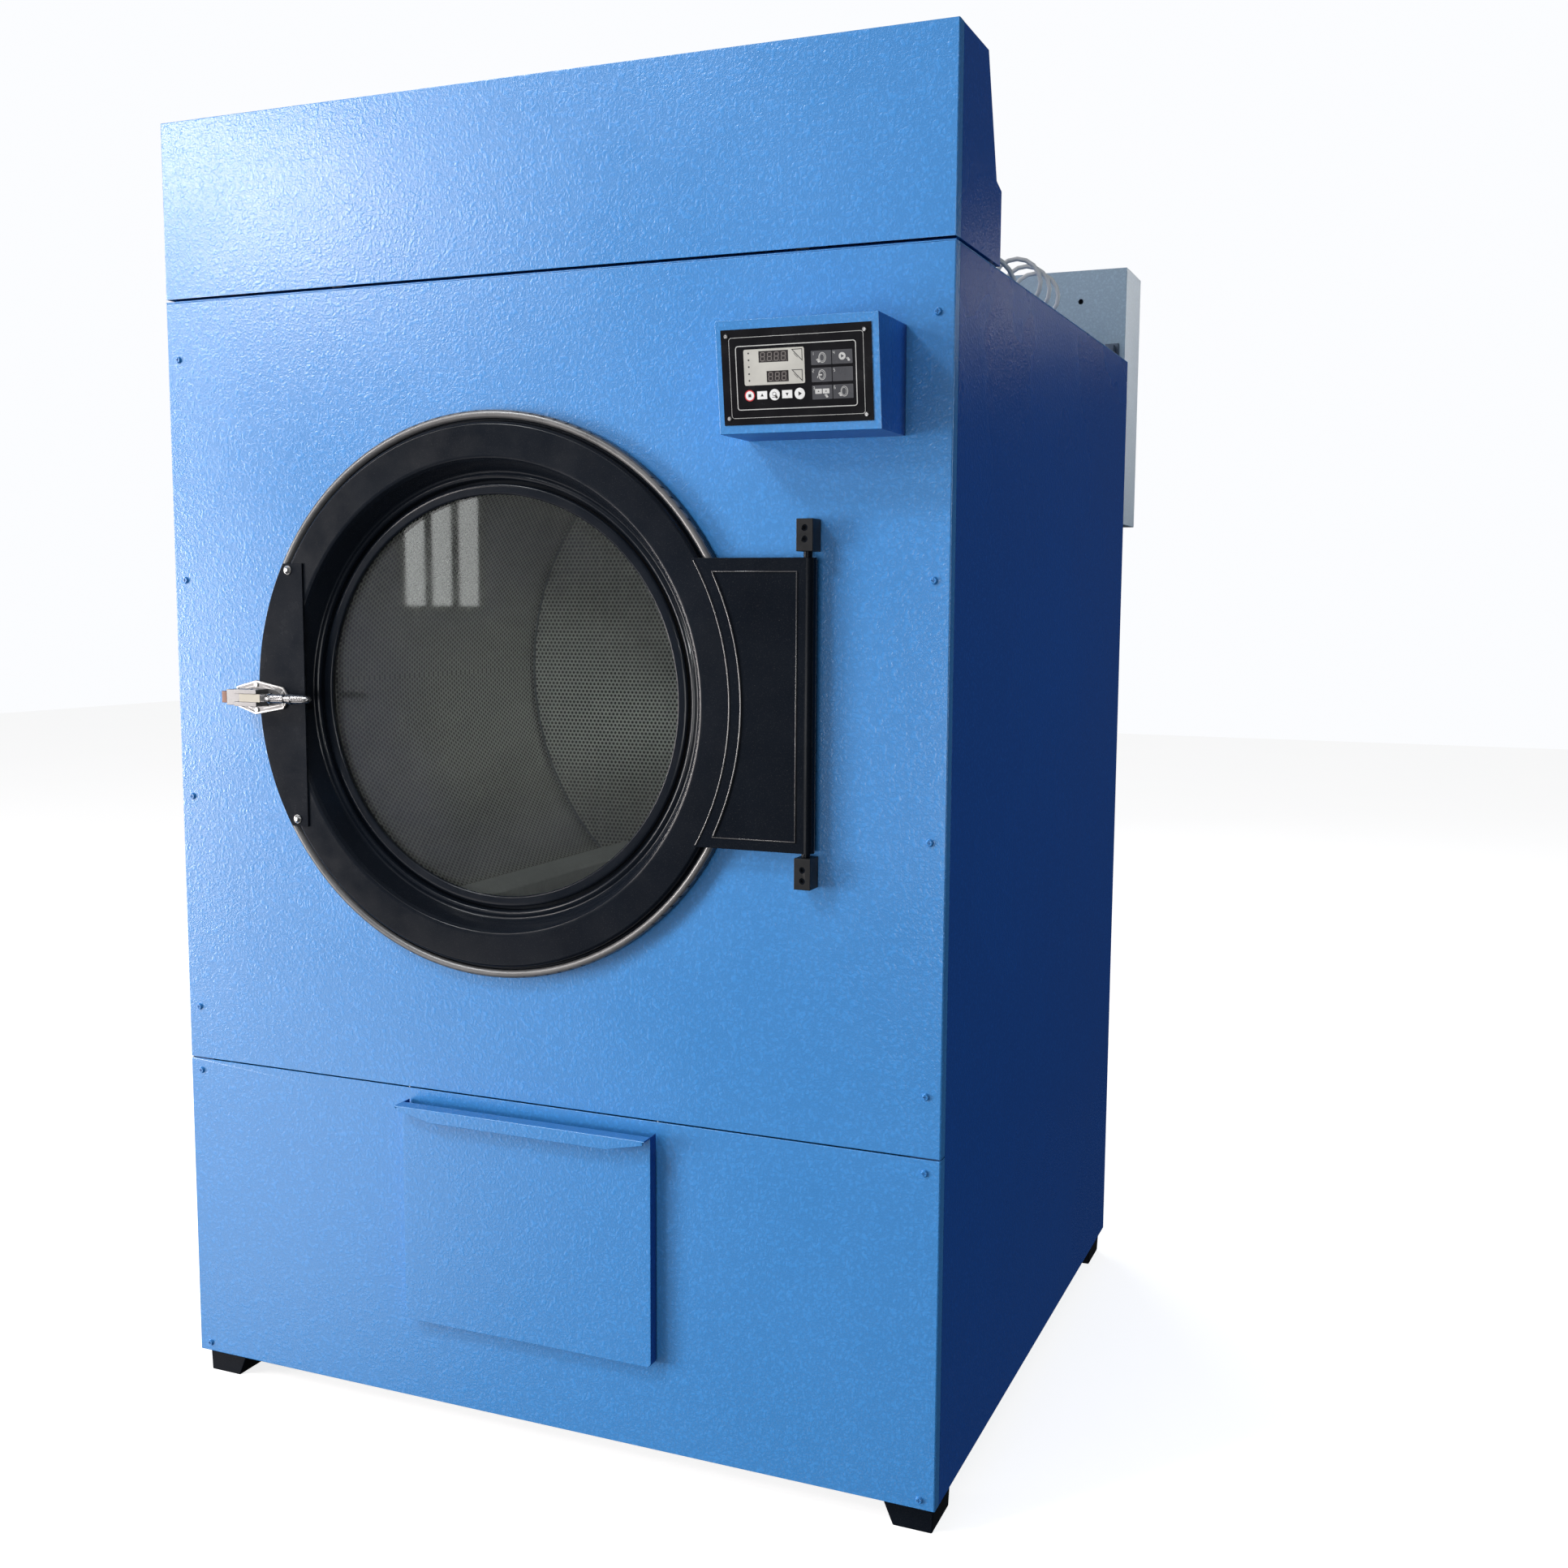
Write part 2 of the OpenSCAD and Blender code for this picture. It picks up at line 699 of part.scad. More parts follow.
module latch_keeper() {
  color([0.72, 0.50, 0.42]) {
    slab(-513, -500.5, -4, 0, latch_z - 16, latch_z + 16);
    slab(-510, -500.5, -50, -4, latch_z - 9, latch_z + 9);
  }
}

// Cable from the header to the heater box, with standing loops on the roof
cable_r = 3.5;
cable_x = 588;
cable_z = 1786;
loop_r = 34;
loop_turns = 3;
lead = 10;
loop_steps = 16;
cable_d0 = 232;
cable_d1 = 470;
cable_d2 = 650;
cable_d3 = body_d - 20;
exit_x = 540;
exit_z = 1775;

function ease(t) = t * t * (3 - 2 * t);
function lead_in(i) = let (t = i / lead) [cable_x + loop_r * ease(t) * sin(180 * t),
  cable_d0 + (cable_d1 - cable_d0) * t, cable_z - loop_r * ease(t) * cos(180 * t - 180)];
function loop_at(i) = let (a = 360 * i / loop_steps) [cable_x - loop_r * sin(a),
  cable_d1 + (cable_d2 - cable_d1) * i / (loop_turns * loop_steps), cable_z - loop_r * cos(a)];
function lead_out(i) = let (t = i / lead)
  [cable_x + (exit_x - cable_x) * ease(t) - loop_r * (1 - ease(t)) * sin(90 * t),
  cable_d2 + (cable_d3 - cable_d2) * t,
  (cable_z - loop_r) * (1 - ease(t)) + exit_z * ease(t)];
cable_path = concat([for (i = [0 : lead - 1]) lead_in(i)],
  [for (i = [0 : loop_turns * loop_steps]) loop_at(i)], [for (i = [1 : lead]) lead_out(i)]);
ring_sides = 10;

function unit(v) = v / norm(v);
function heading(i) = i == 0 ? [0, 1, 0] : i == len(cable_path) - 1 ? [0, 1, 0]
  : unit(cable_path[i + 1] - cable_path[i - 1]);
function side_of(h, old) = unit(old - h * (old * h));
function sides(i, old) = let (now = side_of(heading(i), old))
  i == len(cable_path) - 1 ? [now] : concat([now], sides(i + 1, now));
cable_sides = sides(0, [1, 0, 0]);

module cable() {
  n = len(cable_path);
  points = [for (i = [0 : n - 1]) for (k = [0 : ring_sides - 1])
    let (u = cable_sides[i], v = cross(heading(i), u), a = 360 * k / ring_sides)
    cable_path[i] + cable_r * (u * cos(a) + v * sin(a))];
  walls = [for (i = [0 : n - 2]) for (k = [0 : ring_sides - 1])
    let (k2 = (k + 1) % ring_sides, p = i * ring_sides, q = p + ring_sides)
    [p + k, q + k, q + k2, p + k2]];
  start = [[for (k = [0 : ring_sides - 1]) k]];
  end = [[for (k = [ring_sides - 1 : -1 : 0]) (n - 1) * ring_sides + k]];
  color([0.55, 0.56, 0.58]) translate([0, front_y, 0]) polyhedron(points = points, faces = concat(start, walls, end));
}

module cable_glands() {
  color(black) {
    rod_d(cable_x, cable_z, 9, header_base_d, cable_d0);
    rod_d(cable_x, cable_z, 13, header_base_d, header_base_d + 10);
    rod_d(exit_x, exit_z, 9, cable_d3, body_d);
    rod_d(exit_x, exit_z, 13, body_d - 10, body_d);
  }
}

// Door ring: rolled rim, groove, flat face, throat and inner bead, bent from one sheet
module door_ring() {
  g = glass_r;
  color(black) spin_door([[door_r, -3], [door_r, -16], [door_r - 2, -19], [door_r - 5.5, -20],
    [door_r - 9, -19], [door_r - 11.5, -16], [door_r - 12.5, -12], [door_r - 15.5, -12],
    [door_r - 16.5, -20], [door_r - 18, -23], [door_r - 21, ring_face],
    [g + 55, ring_face], [g + 50, -23.5], [g + 46, -19], [g + 36, 3], [g + 34, 6], [g + 31.5, 7.2],
    [g + 29, 5.5], [g + 26, 4.6], [g + 23, 6], [g + 21.5, 9], [g + 21.5, 21], [g + 5, 21],
    [g + 5, 23.5], [g + 24, 23.5], [g + 24, 9.5], [g + 25.5, 7.5], [g + 27.5, 8.2], [g + 31.5, 9.8],
    [g + 35.5, 8.7], [g + 38.5, 4.5], [g + 48.5, -17.5], [g + 52, -21], [g + 56, -22.5],
    [door_r - 22, -22.5], [door_r - 19, -18.5], [door_r - 18, -9.5], [door_r - 10, -9.5],
    [door_r - 9, -15], [door_r - 5.5, -17.2], [door_r - 2.5, -14.5], [door_r - 2.5, -3]]);
}

module glass_ring() {
  g = glass_r;
  color(black) spin_door([[g, 11], [g, 9], [g + 2, 7.3], [g + 10, 7], [g + 14, 8], [g + 16, 10],
    [g + 16, 11]]);
}

module glass_gasket() {
  g = glass_r;
  color(rubber) spin_door([[g + 15, 11], [g + 2, 11], [g + 2, 13], [g + 9, 13], [g + 9, 19],
    [g + 5, 19], [g + 5, 21], [g + 15, 21]]);
}

module door_glass() {
  color([0.75, 0.80, 0.80, 0.35]) rod_d(door_x, door_z, glass_r + 9, 13, 19);
}

module door_seal() {
  color(rubber) spin_door([[376, 0], [392, 0], [390, -22.5], [378, -22.5]]);
}

module hinge_plate() {
  z0 = door_z - 195;
  z1 = door_z + 201;
  color(black) {
    difference() {
      slab(250, hinge_x, -28, -28 + plate_t, z0, z1);
      rod_d(door_x, door_z, 390, -40, 0);
      // Shallow pressed field inside a raised border
      intersection() {
        slab(250, 437, -29, -27, z0 + 15, z1 - 18);
        difference() {
          rod_d(door_x, door_z, 600, -30, 0);
          rod_d(door_x, door_z, 408, -31, 1);
        }
      }
    }
    difference() {
      rod_z(hinge_x, -hinge_d, 12, z0, z1);
      rod_z(hinge_x, -hinge_d, pin_r, z0 - 1, z1 + 1);
    }
  }
}

module hinge_pin() {
  color(steel) rod_z(hinge_x, -hinge_d, pin_r, 945 - pin_in, 1355 + pin_in);
}

bracket_x = -370;
bracket_screws_at = [[-396, 1332], [-389, 952]];

module latch_bracket() {
  color(black) difference() {
    intersection() {
      rod_d(door_x, door_z, door_r - 9, -28, ring_face);
      slab(-500, bracket_x, -30, -20, door_z - 205, door_z + 196);
    }
    for (p = bracket_screws_at) rod_d(p[0], p[1], 3, -30, -20);
  }
}

module bracket_screws() {
  color(chrome) for (p = bracket_screws_at) {
    rod_d(p[0], p[1], 2.9, -28.5, ring_face);
    translate([p[0], front_y - 28, p[1]]) rotate([90, 0, 0]) cylinder(r = 6.5, h = 1.5);
    translate([p[0], front_y - 29.5, p[1]]) rotate([90, 0, 0]) cylinder(r1 = 6.2, r2 = 3, h = 3.5);
  }
}

module latch_body() {
  color(chrome) difference() {
    union() {
      plate_xz(-31, -28) polygon([[-497, 1154], [-459, 1164], [-408, 1154], [-396, 1139],
        [-408, 1121], [-461, 1111], [-495, 1122]]);
      // Ears that hold the handle's pin
      slab(latch_x - 26, latch_x + 16, -60, -30, latch_z - 13, latch_z - 6.2);
      slab(latch_x - 26, latch_x + 16, -60, -30, latch_z + 6.2, latch_z + 13);
      // Nose round the bolt
      slab(-499, latch_x - 20, -52, -30, latch_z - 12, latch_z + 12);
    }
    rod_z(latch_x, latch_d, 3 + shaft_clear, latch_z - 20, latch_z + 20);
    slab(-504, latch_x + 20, -42.2, -32.8, latch_z - 5.2, latch_z + 5.2);
  }
}

module latch_handle() {
  color(chrome) {
    rod_z(latch_x, latch_d, 7, latch_z - 6, latch_z + 6);
    rod_z(latch_x, latch_d, 3, latch_z - 14, latch_z + 14);
    slab(latch_x, latch_x + 34, latch_d - 7, latch_d + 3, latch_z - 5.5, latch_z + 5.5);
    rod_x(latch_d - 3, latch_z, 6, latch_x + 30, latch_x + 106);
    rod_x(latch_d - 3, latch_z, 8, latch_x + 34, latch_x + 40);
    rod_x(latch_d - 3, latch_z, 8, latch_x + 74, latch_x + 79);
    translate([latch_x + 106, front_y + latch_d - 3, latch_z]) sphere(r = 6, $fn = 32);
  }
}

module latch_bolt() {
  color(chrome) slab(-499.5, latch_x - 10, -42, -33, latch_z - 5, latch_z + 5);
}

module drum_shell() {
  color(steel) difference() {
    union() {
      rod_d(door_x, door_z, drum_r, 66, 66 + drum_depth);
      rod_d(door_x, door_z, mouth_r + 16, 50, 68);
    }
    rod_d(door_x, door_z, drum_r - 1.5, 67.5, 1010);
    rod_d(door_x, door_z, mouth_r + 14.5, 40, 70);
  }
}

module drum_back() {
  color(steel) rod_d(door_x, door_z, drum_r - 1.5, 64 + drum_depth, 66 + drum_depth);
}

// Where the three lifters and the spider arms behind them stand at rest, in degrees
lifter_angles = [112, 232, 352];

module drum_lifters() {
  base = drum_r - 4.4;
  tip = drum_r - lifter_h;
  color(steel) for (a = lifter_angles)
    translate([door_x, front_y + 90, door_z]) rotate([-90, 0, 0]) rotate([0, 0, -a])
      linear_extrude(height = drum_depth - 40)
        polygon([[base, -55], [tip, -18], [tip, 18], [base, 55],
          [base, 52.5], [tip + 2, 17], [tip + 2, -17], [base, -52.5]]);
}

module drum_shaft() {
  color(zinc) {
    for (a = lifter_angles) translate([door_x, front_y + 1000, door_z]) rotate([-90, 0, 0])
      rotate([0, 0, -a]) translate([0, -30, 0]) cube([520, 60, 12]);
    rod_d(door_x, door_z, 90, 1000, 1016);
    rod_d(door_x, door_z, 30, 1000, 1190);
  }
}

module drum_pulley() {
  color(zinc) difference() {
    pulley(door_x, door_z, drum_pulley_r, plane_a, 28, 50);
    rod_d(door_x, door_z, 30, 1100, 1200);
    // Lightening windows between the spokes
    for (a = [0 : 60 : 300]) translate([door_x, front_y + 1100, door_z]) rotate([-90, 0, 0])
      rotate([0, 0, a]) translate([155, 0, 0]) cylinder(r = 55, h = 120);
  }
}

// Lint drawer front: pan with folded edges and a pull lip along its top
lint_z0 = 178;
lint_lip_d = 40;

module lint_pan(inset) {
  x = lint_w / 2;
  z0 = lint_z0;
  offset(delta = -inset) polygon([[-x, z0 + lint_h], [-x, z0 + 6], [-x + 2, z0 + 2], [-x + 6, z0],
    [x - 6, z0], [x - 2, z0 + 2], [x, z0 + 6], [x, z0 + lint_h]]);
}

module lint_front() {
  x = lint_w / 2;
  z1 = lint_z0 + lint_h;
  t = 2;
  color(blue) {
    difference() {
      plate_xz(-20, -2) lint_pan(0);
      plate_xz(-18, 0) lint_pan(t);
      slab(-x + t, x - t, -18, 0, z1 - 2 * t, z1 + 1);
    }
    slab(-x, x, -lint_lip_d, -19, z1 - t, z1);
    plate_xz(-lint_lip_d, -lint_lip_d + t) polygon([[-x, z1], [-x + 3, z1 - 7], [-x + 63, z1 - 20],
      [x - 63, z1 - 20], [x - 3, z1 - 7], [x, z1]]);
  }
}

// Lint tray with its screen of bars in the bottom
module lint_tray() {
  t = 2;
  color(zinc) {
    for (s = [-1, 1]) {
      x0 = s > 0 ? tray_x - t : -tray_x;
      slab(x0, x0 + t, -18, tray_d + 20, tray_z0, tray_z1);
    }
    slab(-tray_x, tray_x, tray_d + 18, tray_d + 20, tray_z0, tray_z1);
    slab(-tray_x, tray_x, 4, 6, tray_z0, tray_z1);
    // Screen
    for (i = [0 : 11]) slab(-tray_x + i * 34, -tray_x + i * 34 + 2, 4, tray_d + 20, tray_z0, tray_z0 + 2);
    for (i = [0 : 14]) slab(-tray_x, tray_x, 6 + i * 41, 8 + i * 41, tray_z0, tray_z0 + 2);
  }
}

frame();
feet();
side_panel_left();
side_panel_right();
front_panel_upper();
front_panel_lower();
rear_panel();
roof_panel();
header_front();
header_shell();
panel_screws();
electrics();
drum_casing();
filter_housing();
heater_box();
heater_elements();
heater_latch();
fan_housing();
fan_motor();
fan_impeller();
bearing_housings();
drum_motor();
motor_pulley();
jack_pulley();
motor_belt();
drum_belt();
belt_guard();
control_box();
control_overlay();
control_board();
overlay_screws();
key_stop();
key_up();
key_set();
key_down();
key_run();
hinge_blocks();
hinge_screws();
latch_keeper();
cable();
cable_glands();
door_ring();
glass_ring();
door_glass();
glass_gasket();
door_seal();
hinge_plate();
hinge_pin();
latch_bracket();
bracket_screws();
latch_body();
latch_handle();
latch_bolt();
drum_shell();
drum_back();
drum_lifters();
drum_shaft();
drum_pulley();
lint_front();
lint_tray();
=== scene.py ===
import json
import math

import bmesh
import bpy
from mathutils import Euler, Matrix, Vector
from mathutils.geometry import tessellate_polygon


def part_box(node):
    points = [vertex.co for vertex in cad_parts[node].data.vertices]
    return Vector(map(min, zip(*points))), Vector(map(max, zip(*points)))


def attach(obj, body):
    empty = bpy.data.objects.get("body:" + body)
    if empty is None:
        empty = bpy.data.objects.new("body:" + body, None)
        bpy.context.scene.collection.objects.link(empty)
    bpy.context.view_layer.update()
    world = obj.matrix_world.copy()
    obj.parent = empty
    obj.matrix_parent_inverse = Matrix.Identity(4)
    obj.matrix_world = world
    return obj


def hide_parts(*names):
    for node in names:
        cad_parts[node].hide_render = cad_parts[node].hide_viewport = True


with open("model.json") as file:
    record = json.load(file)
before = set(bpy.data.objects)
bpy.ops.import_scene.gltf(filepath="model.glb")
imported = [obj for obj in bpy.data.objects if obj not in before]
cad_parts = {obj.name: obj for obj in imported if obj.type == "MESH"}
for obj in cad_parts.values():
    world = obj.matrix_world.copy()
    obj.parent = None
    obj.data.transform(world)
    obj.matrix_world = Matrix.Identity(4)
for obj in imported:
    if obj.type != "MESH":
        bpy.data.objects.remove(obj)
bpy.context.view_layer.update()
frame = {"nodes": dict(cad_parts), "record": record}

MM = 0.001
NODES = frame["nodes"]
SLOT_OF = {part["node"]: part["material_slot"] for part in frame["record"]["subparts"]}
BODY_OF = {n: body for body, names in frame["record"]["behaviour"]["bodies"].items() for n in names}

# Outer face of the front panel, and the axis that the door and the drum share
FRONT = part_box("front_panel_upper")[0].y
glass_lo, glass_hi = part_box("door_glass")
AXIS_X = (glass_lo.x + glass_hi.x) / 2
AXIS_Z = (glass_lo.z + glass_hi.z) / 2


# ---------------------------------------------------------------- camera
# Solved from the straight edges of the cabinet: degrees, and metres from the front panel's face
LENS, SENSOR = 37.757143, 36
TILT_DOWN, TURN_LEFT, ROLL = 6.26, 22.47, 0.36
CAMERA_X, CAMERA_AHEAD, CAMERA_Z = 1.26175, 2.06217, 1.2862


def place_camera():
    camera = bpy.data.objects.new("camera", bpy.data.cameras.new("camera"))
    bpy.context.scene.collection.objects.link(camera)
    camera.data.sensor_width = SENSOR
    camera.data.lens = LENS
    camera.data.clip_start, camera.data.clip_end = 0.05, 100
    turn = Euler((math.radians(90 - TILT_DOWN), 0, math.radians(TURN_LEFT))).to_matrix()
    turn = turn @ Matrix.Rotation(math.radians(ROLL), 3, "Z")
    place = Matrix.Translation((CAMERA_X, FRONT - CAMERA_AHEAD, CAMERA_Z))
    camera.matrix_world = place @ turn.to_4x4()
    bpy.context.scene.camera = camera


place_camera()


# ---------------------------------------------------------------- materials
class Look:
    """A material under construction. Outputs are passed as inputs, which links them."""

    def __init__(self, name):
        self.material = bpy.data.materials.new(name)
        self.material.use_nodes = True
        self.tree = self.material.node_tree
        self.tree.nodes.clear()
        self.place = self.add("ShaderNodeTexCoord").outputs["Object"]

    def add(self, kind, inputs=None, **settings):
        node = self.tree.nodes.new(kind)
        for key, value in settings.items():
            setattr(node, key, value)
        for key, value in (inputs or {}).items():
            if isinstance(value, bpy.types.NodeSocket):
                self.tree.links.new(value, node.inputs[key])
            else:
                node.inputs[key].default_value = value
        return node

    def noise(self, scale, detail=2.0, rough=0.5, place=None):
        inputs = {"Vector": place or self.place, "Scale": scale, "Detail": detail, "Roughness": rough}
        return self.add("ShaderNodeTexNoise", inputs).outputs["Fac"]

    def maths(self, kind, a, b=0.0, clamp=False):
        return self.add("ShaderNodeMath", {0: a, 1: b}, operation=kind, use_clamp=clamp).outputs[0]

    def spread(self, value, low, high, to_low=0.0, to_high=1.0):
        inputs = {"Value": value, "From Min": low, "From Max": high, "To Min": to_low, "To Max": to_high}
        return self.add("ShaderNodeMapRange", inputs).outputs["Result"]

    def mix(self, share, a, b):
        a, b = [(*c, 1) if isinstance(c, tuple) and len(c) == 3 else c for c in (a, b)]
        return self.add("ShaderNodeMix", {0: share, 6: a, 7: b}, data_type="RGBA").outputs[2]

    def part(self, axis, place=None):
        split = self.add("ShaderNodeSeparateXYZ", {0: place or self.place})
        return split.outputs[axis]

    def bump(self, height, depth, strength=1.0, over=None):
        inputs = {"Height": height, "Distance": depth, "Strength": strength}
        if over:
            inputs["Normal"] = over
        return self.add("ShaderNodeBump", inputs).outputs[0]

    def finish(self, colour, rough, metal=0.0, normal=None, **more):
        colour = (*colour, 1) if isinstance(colour, tuple) else colour
        inputs = {"Base Color": colour, "Roughness": rough, "Metallic": metal}
        if normal:
            inputs["Normal"] = normal
        inputs.update({key.replace("_", " "): value for key, value in more.items()})
        shader = self.add("ShaderNodeBsdfPrincipled", inputs)
        self.add("ShaderNodeOutputMaterial", {"Surface": shader.outputs[0]})
        return self.material


def powder_coat(name, colour, grain=143.2, depth=0.85, rough=0.27, dust=0.05, shine=0.8):
    """Textured powder coat: wormy grain some millimetres wide, darker in the valleys of its bump as painted
    shade, a finer peel, and light dust low down.
    """
    look = Look(name)
    wide = look.noise(grain, 2.5, 0.55)
    ridges = look.maths("ABSOLUTE", look.maths("SUBTRACT", wide, 0.5))
    fine = look.noise(grain * 2.3, 2.0, 0.5)
    patches = look.noise(2.2, 3.0, 0.6)
    normal = look.bump(fine, 0.1 * MM, 0.35)
    normal = look.bump(ridges, depth * MM, 1.0, normal)
    # Partly painted shade: the tone is darker in the valleys of the grain's bump and paler on its ridges
    grain_and_valley_shade = look.spread(ridges, 0.0, 0.2, 0.88, 1.08)
    tone = look.maths("MULTIPLY", grain_and_valley_shade, look.spread(patches, 0.0, 1.0, 0.93, 1.06))
    shaded = look.add("ShaderNodeVectorMath", {0: colour, 3: tone}, operation="SCALE").outputs[0]
    low = look.spread(look.part("Z"), 0.0, 0.5, 1.0, 0.0)
    specks = look.spread(look.noise(420.0, 3.0, 0.7), 0.52, 0.72)
    dusty = look.maths("MULTIPLY", look.maths("MULTIPLY", low, specks), dust * 3)
    shaded = look.mix(dusty, shaded, (0.55, 0.56, 0.56))
    gloss = look.spread(patches, 0.0, 1.0, rough - 0.08, rough + 0.10)
    gloss = look.maths("ADD", gloss, look.maths("MULTIPLY", dusty, 0.8))
    return look.finish(shaded, gloss, 0.0, normal, Specular_IOR_Level=shine)


def enamel(name, colour, rough=0.24, peel=420.0, depth=0.05, shine=0.085):
    """Smooth sprayed enamel: a faint peel, soft wipe marks and a little dust in it."""
    look = Look(name)
    patches = look.noise(7.0, 4.0, 0.6)
    specks = look.spread(look.noise(900.0, 2.0, 0.6), 0.62, 0.75)
    paler = tuple(c * 1.5 + 0.002 for c in colour)
    shaded = look.mix(look.spread(patches, 0.3, 0.7, 0.0, 0.5), colour, paler)
    shaded = look.mix(look.maths("MULTIPLY", specks, 0.25), shaded, (0.12, 0.12, 0.12))
    gloss = look.spread(look.noise(16.0, 5.0, 0.65), 0.3, 0.7, rough - 0.05, rough + 0.07)
    return look.finish(shaded, gloss, 0.0, look.bump(look.noise(peel, 2.0), depth * MM, 0.6),
                       Specular_IOR_Level=shine)


def holes(look, across, along, pitch, radius):
    """1 inside the holes of a staggered pattern, 0 on the sheet between them."""
    best = None
    row = pitch * math.sqrt(3)
    for shift in (0.0, 0.5):
        u = look.maths("FRACT", look.maths("ADD", look.maths("DIVIDE", across, pitch), shift))
        v = look.maths("FRACT", look.maths("ADD", look.maths("DIVIDE", along, row), shift))
        u = look.maths("MULTIPLY", look.maths("SUBTRACT", u, 0.5), pitch)
        v = look.maths("MULTIPLY", look.maths("SUBTRACT", v, 0.5), row)
        squares = look.maths("ADD", look.maths("MULTIPLY", u, u), look.maths("MULTIPLY", v, v))
        far = look.maths("SQRT", squares)
        best = far if best is None else look.maths("MINIMUM", best, far)
    return look.spread(best, radius * 0.86, radius * 1.14, 1.0, 0.0)


DRUM_WALL_R = 538 * MM


def perforated(name, colour, wall, pitch=9.0 * MM, radius=2.9 * MM):
    """Perforated stainless sheet: on the drum's round wall, or flat on its back. Its holes are painted
    near-black, a painted shade for the space behind them.
    """
    look = Look(name)
    x = look.maths("SUBTRACT", look.part("X"), AXIS_X)
    z = look.maths("SUBTRACT", look.part("Z"), AXIS_Z)
    if wall:
        across = look.maths("MULTIPLY", look.maths("ARCTAN2", z, x), DRUM_WALL_R)
        along = look.part("Y")
    else:
        across, along = x, z
    hole = holes(look, across, along, pitch, radius)
    brushed = look.noise(60.0, 3.0, 0.6)
    steel = look.mix(brushed, tuple(c * 0.8 for c in colour), colour)
    # Painted shade: inside the holes the colour is near-black, standing for the dark space seen through them
    steel_with_hole_shade = look.mix(hole, steel, (0.006, 0.006, 0.007))
    gloss = look.spread(brushed, 0.3, 0.7, 0.32, 0.45)
    gloss = look.maths("ADD", gloss, look.maths("MULTIPLY", hole, 0.5))
    metal = look.maths("SUBTRACT", 0.85, look.maths("MULTIPLY", hole, 0.85))
    return look.finish(steel_with_hole_shade, gloss, metal, look.bump(hole, -0.6 * MM, 0.8))


def sheet_metal(name, colour, rough=0.38, spangle=60.0, metal=1.0, brushed=(1, 1, 1), depth=0.02):
    """Bare metal: brushed or spangled tone, with roughness that follows it."""
    look = Look(name)
    stretched = look.add("ShaderNodeVectorMath", {0: look.place, 1: brushed}, operation="MULTIPLY").outputs[0]
    grain = look.noise(spangle, 4.0, 0.65, stretched)
    cells = look.add("ShaderNodeTexVoronoi", {"Vector": look.place, "Scale": spangle * 1.6}).outputs["Color"]
    cell_tone = look.maths("MULTIPLY", look.part("X", cells), 0.3)
    tone = look.maths("ADD", look.maths("MULTIPLY", grain, 0.7), cell_tone)
    shaded = look.mix(tone, tuple(c * 0.72 for c in colour), colour)
    gloss = look.spread(tone, 0.2, 0.8, rough - 0.07, rough + 0.1)
    return look.finish(shaded, gloss, metal, look.bump(grain, depth * MM, 0.5))


def cast_metal(name, colour, rough=0.55):
    """Sand-cast and painted: pitted skin, with painted shade that darkens its hollows."""
    look = Look(name)
    pits = look.noise(320.0, 5.0, 0.7)
    # Painted shade: the colour is darker where the pits of the bump are deep
    shaded = look.mix(look.spread(pits, 0.35, 0.65), tuple(c * 0.6 for c in colour), colour)
    return look.finish(shaded, look.spread(pits, 0.3, 0.7, rough + 0.12, rough - 0.08), 0.2,
                       look.bump(pits, 0.5 * MM, 0.8))


def moulded(name, colour, rough=0.45, grain=900.0, depth=0.04, **more):
    """Moulded plastic, rubber or printed film: fine grain, faint smudges."""
    look = Look(name)
    smudge = look.noise(30.0, 4.0, 0.6)
    shaded = look.mix(look.spread(smudge, 0.3, 0.7), tuple(c * 0.85 for c in colour), colour)
    gloss = look.spread(smudge, 0.3, 0.7, rough - 0.06, rough + 0.08)
    return look.finish(shaded, gloss, 0.0, look.bump(look.noise(grain, 2.0), depth * MM, 0.5), **more)


def clear_glass(name):
    """Flat safety glass: light goes straight through, with Fresnel reflections and faint wipe marks."""
    look = Look(name)
    smear = look.spread(look.noise(9.0, 5.0, 0.7), 0.35, 0.75)
    through = look.add("ShaderNodeBsdfTransparent", {"Color": (0.90, 0.93, 0.92, 1)}).outputs[0]
    haze = look.add("ShaderNodeBsdfDiffuse", {"Color": (0.8, 0.82, 0.82, 1)}).outputs[0]
    clear = look.add("ShaderNodeMixShader", {0: look.spread(smear, 0, 1, 0.002, 0.012), 1: through, 2: haze})
    gloss = look.spread(smear, 0, 1, 0.01, 0.04)
    shine = look.add("ShaderNodeBsdfGlossy", {"Color": (1, 1, 1, 1), "Roughness": gloss})
    edge = look.add("ShaderNodeFresnel", {"IOR": 1.52}).outputs[0]
    mixed = look.add("ShaderNodeMixShader", {0: edge, 1: clear.outputs[0], 2: shine.outputs[0]})
    look.add("ShaderNodeOutputMaterial", {"Surface": mixed.outputs[0]})
    return look.material


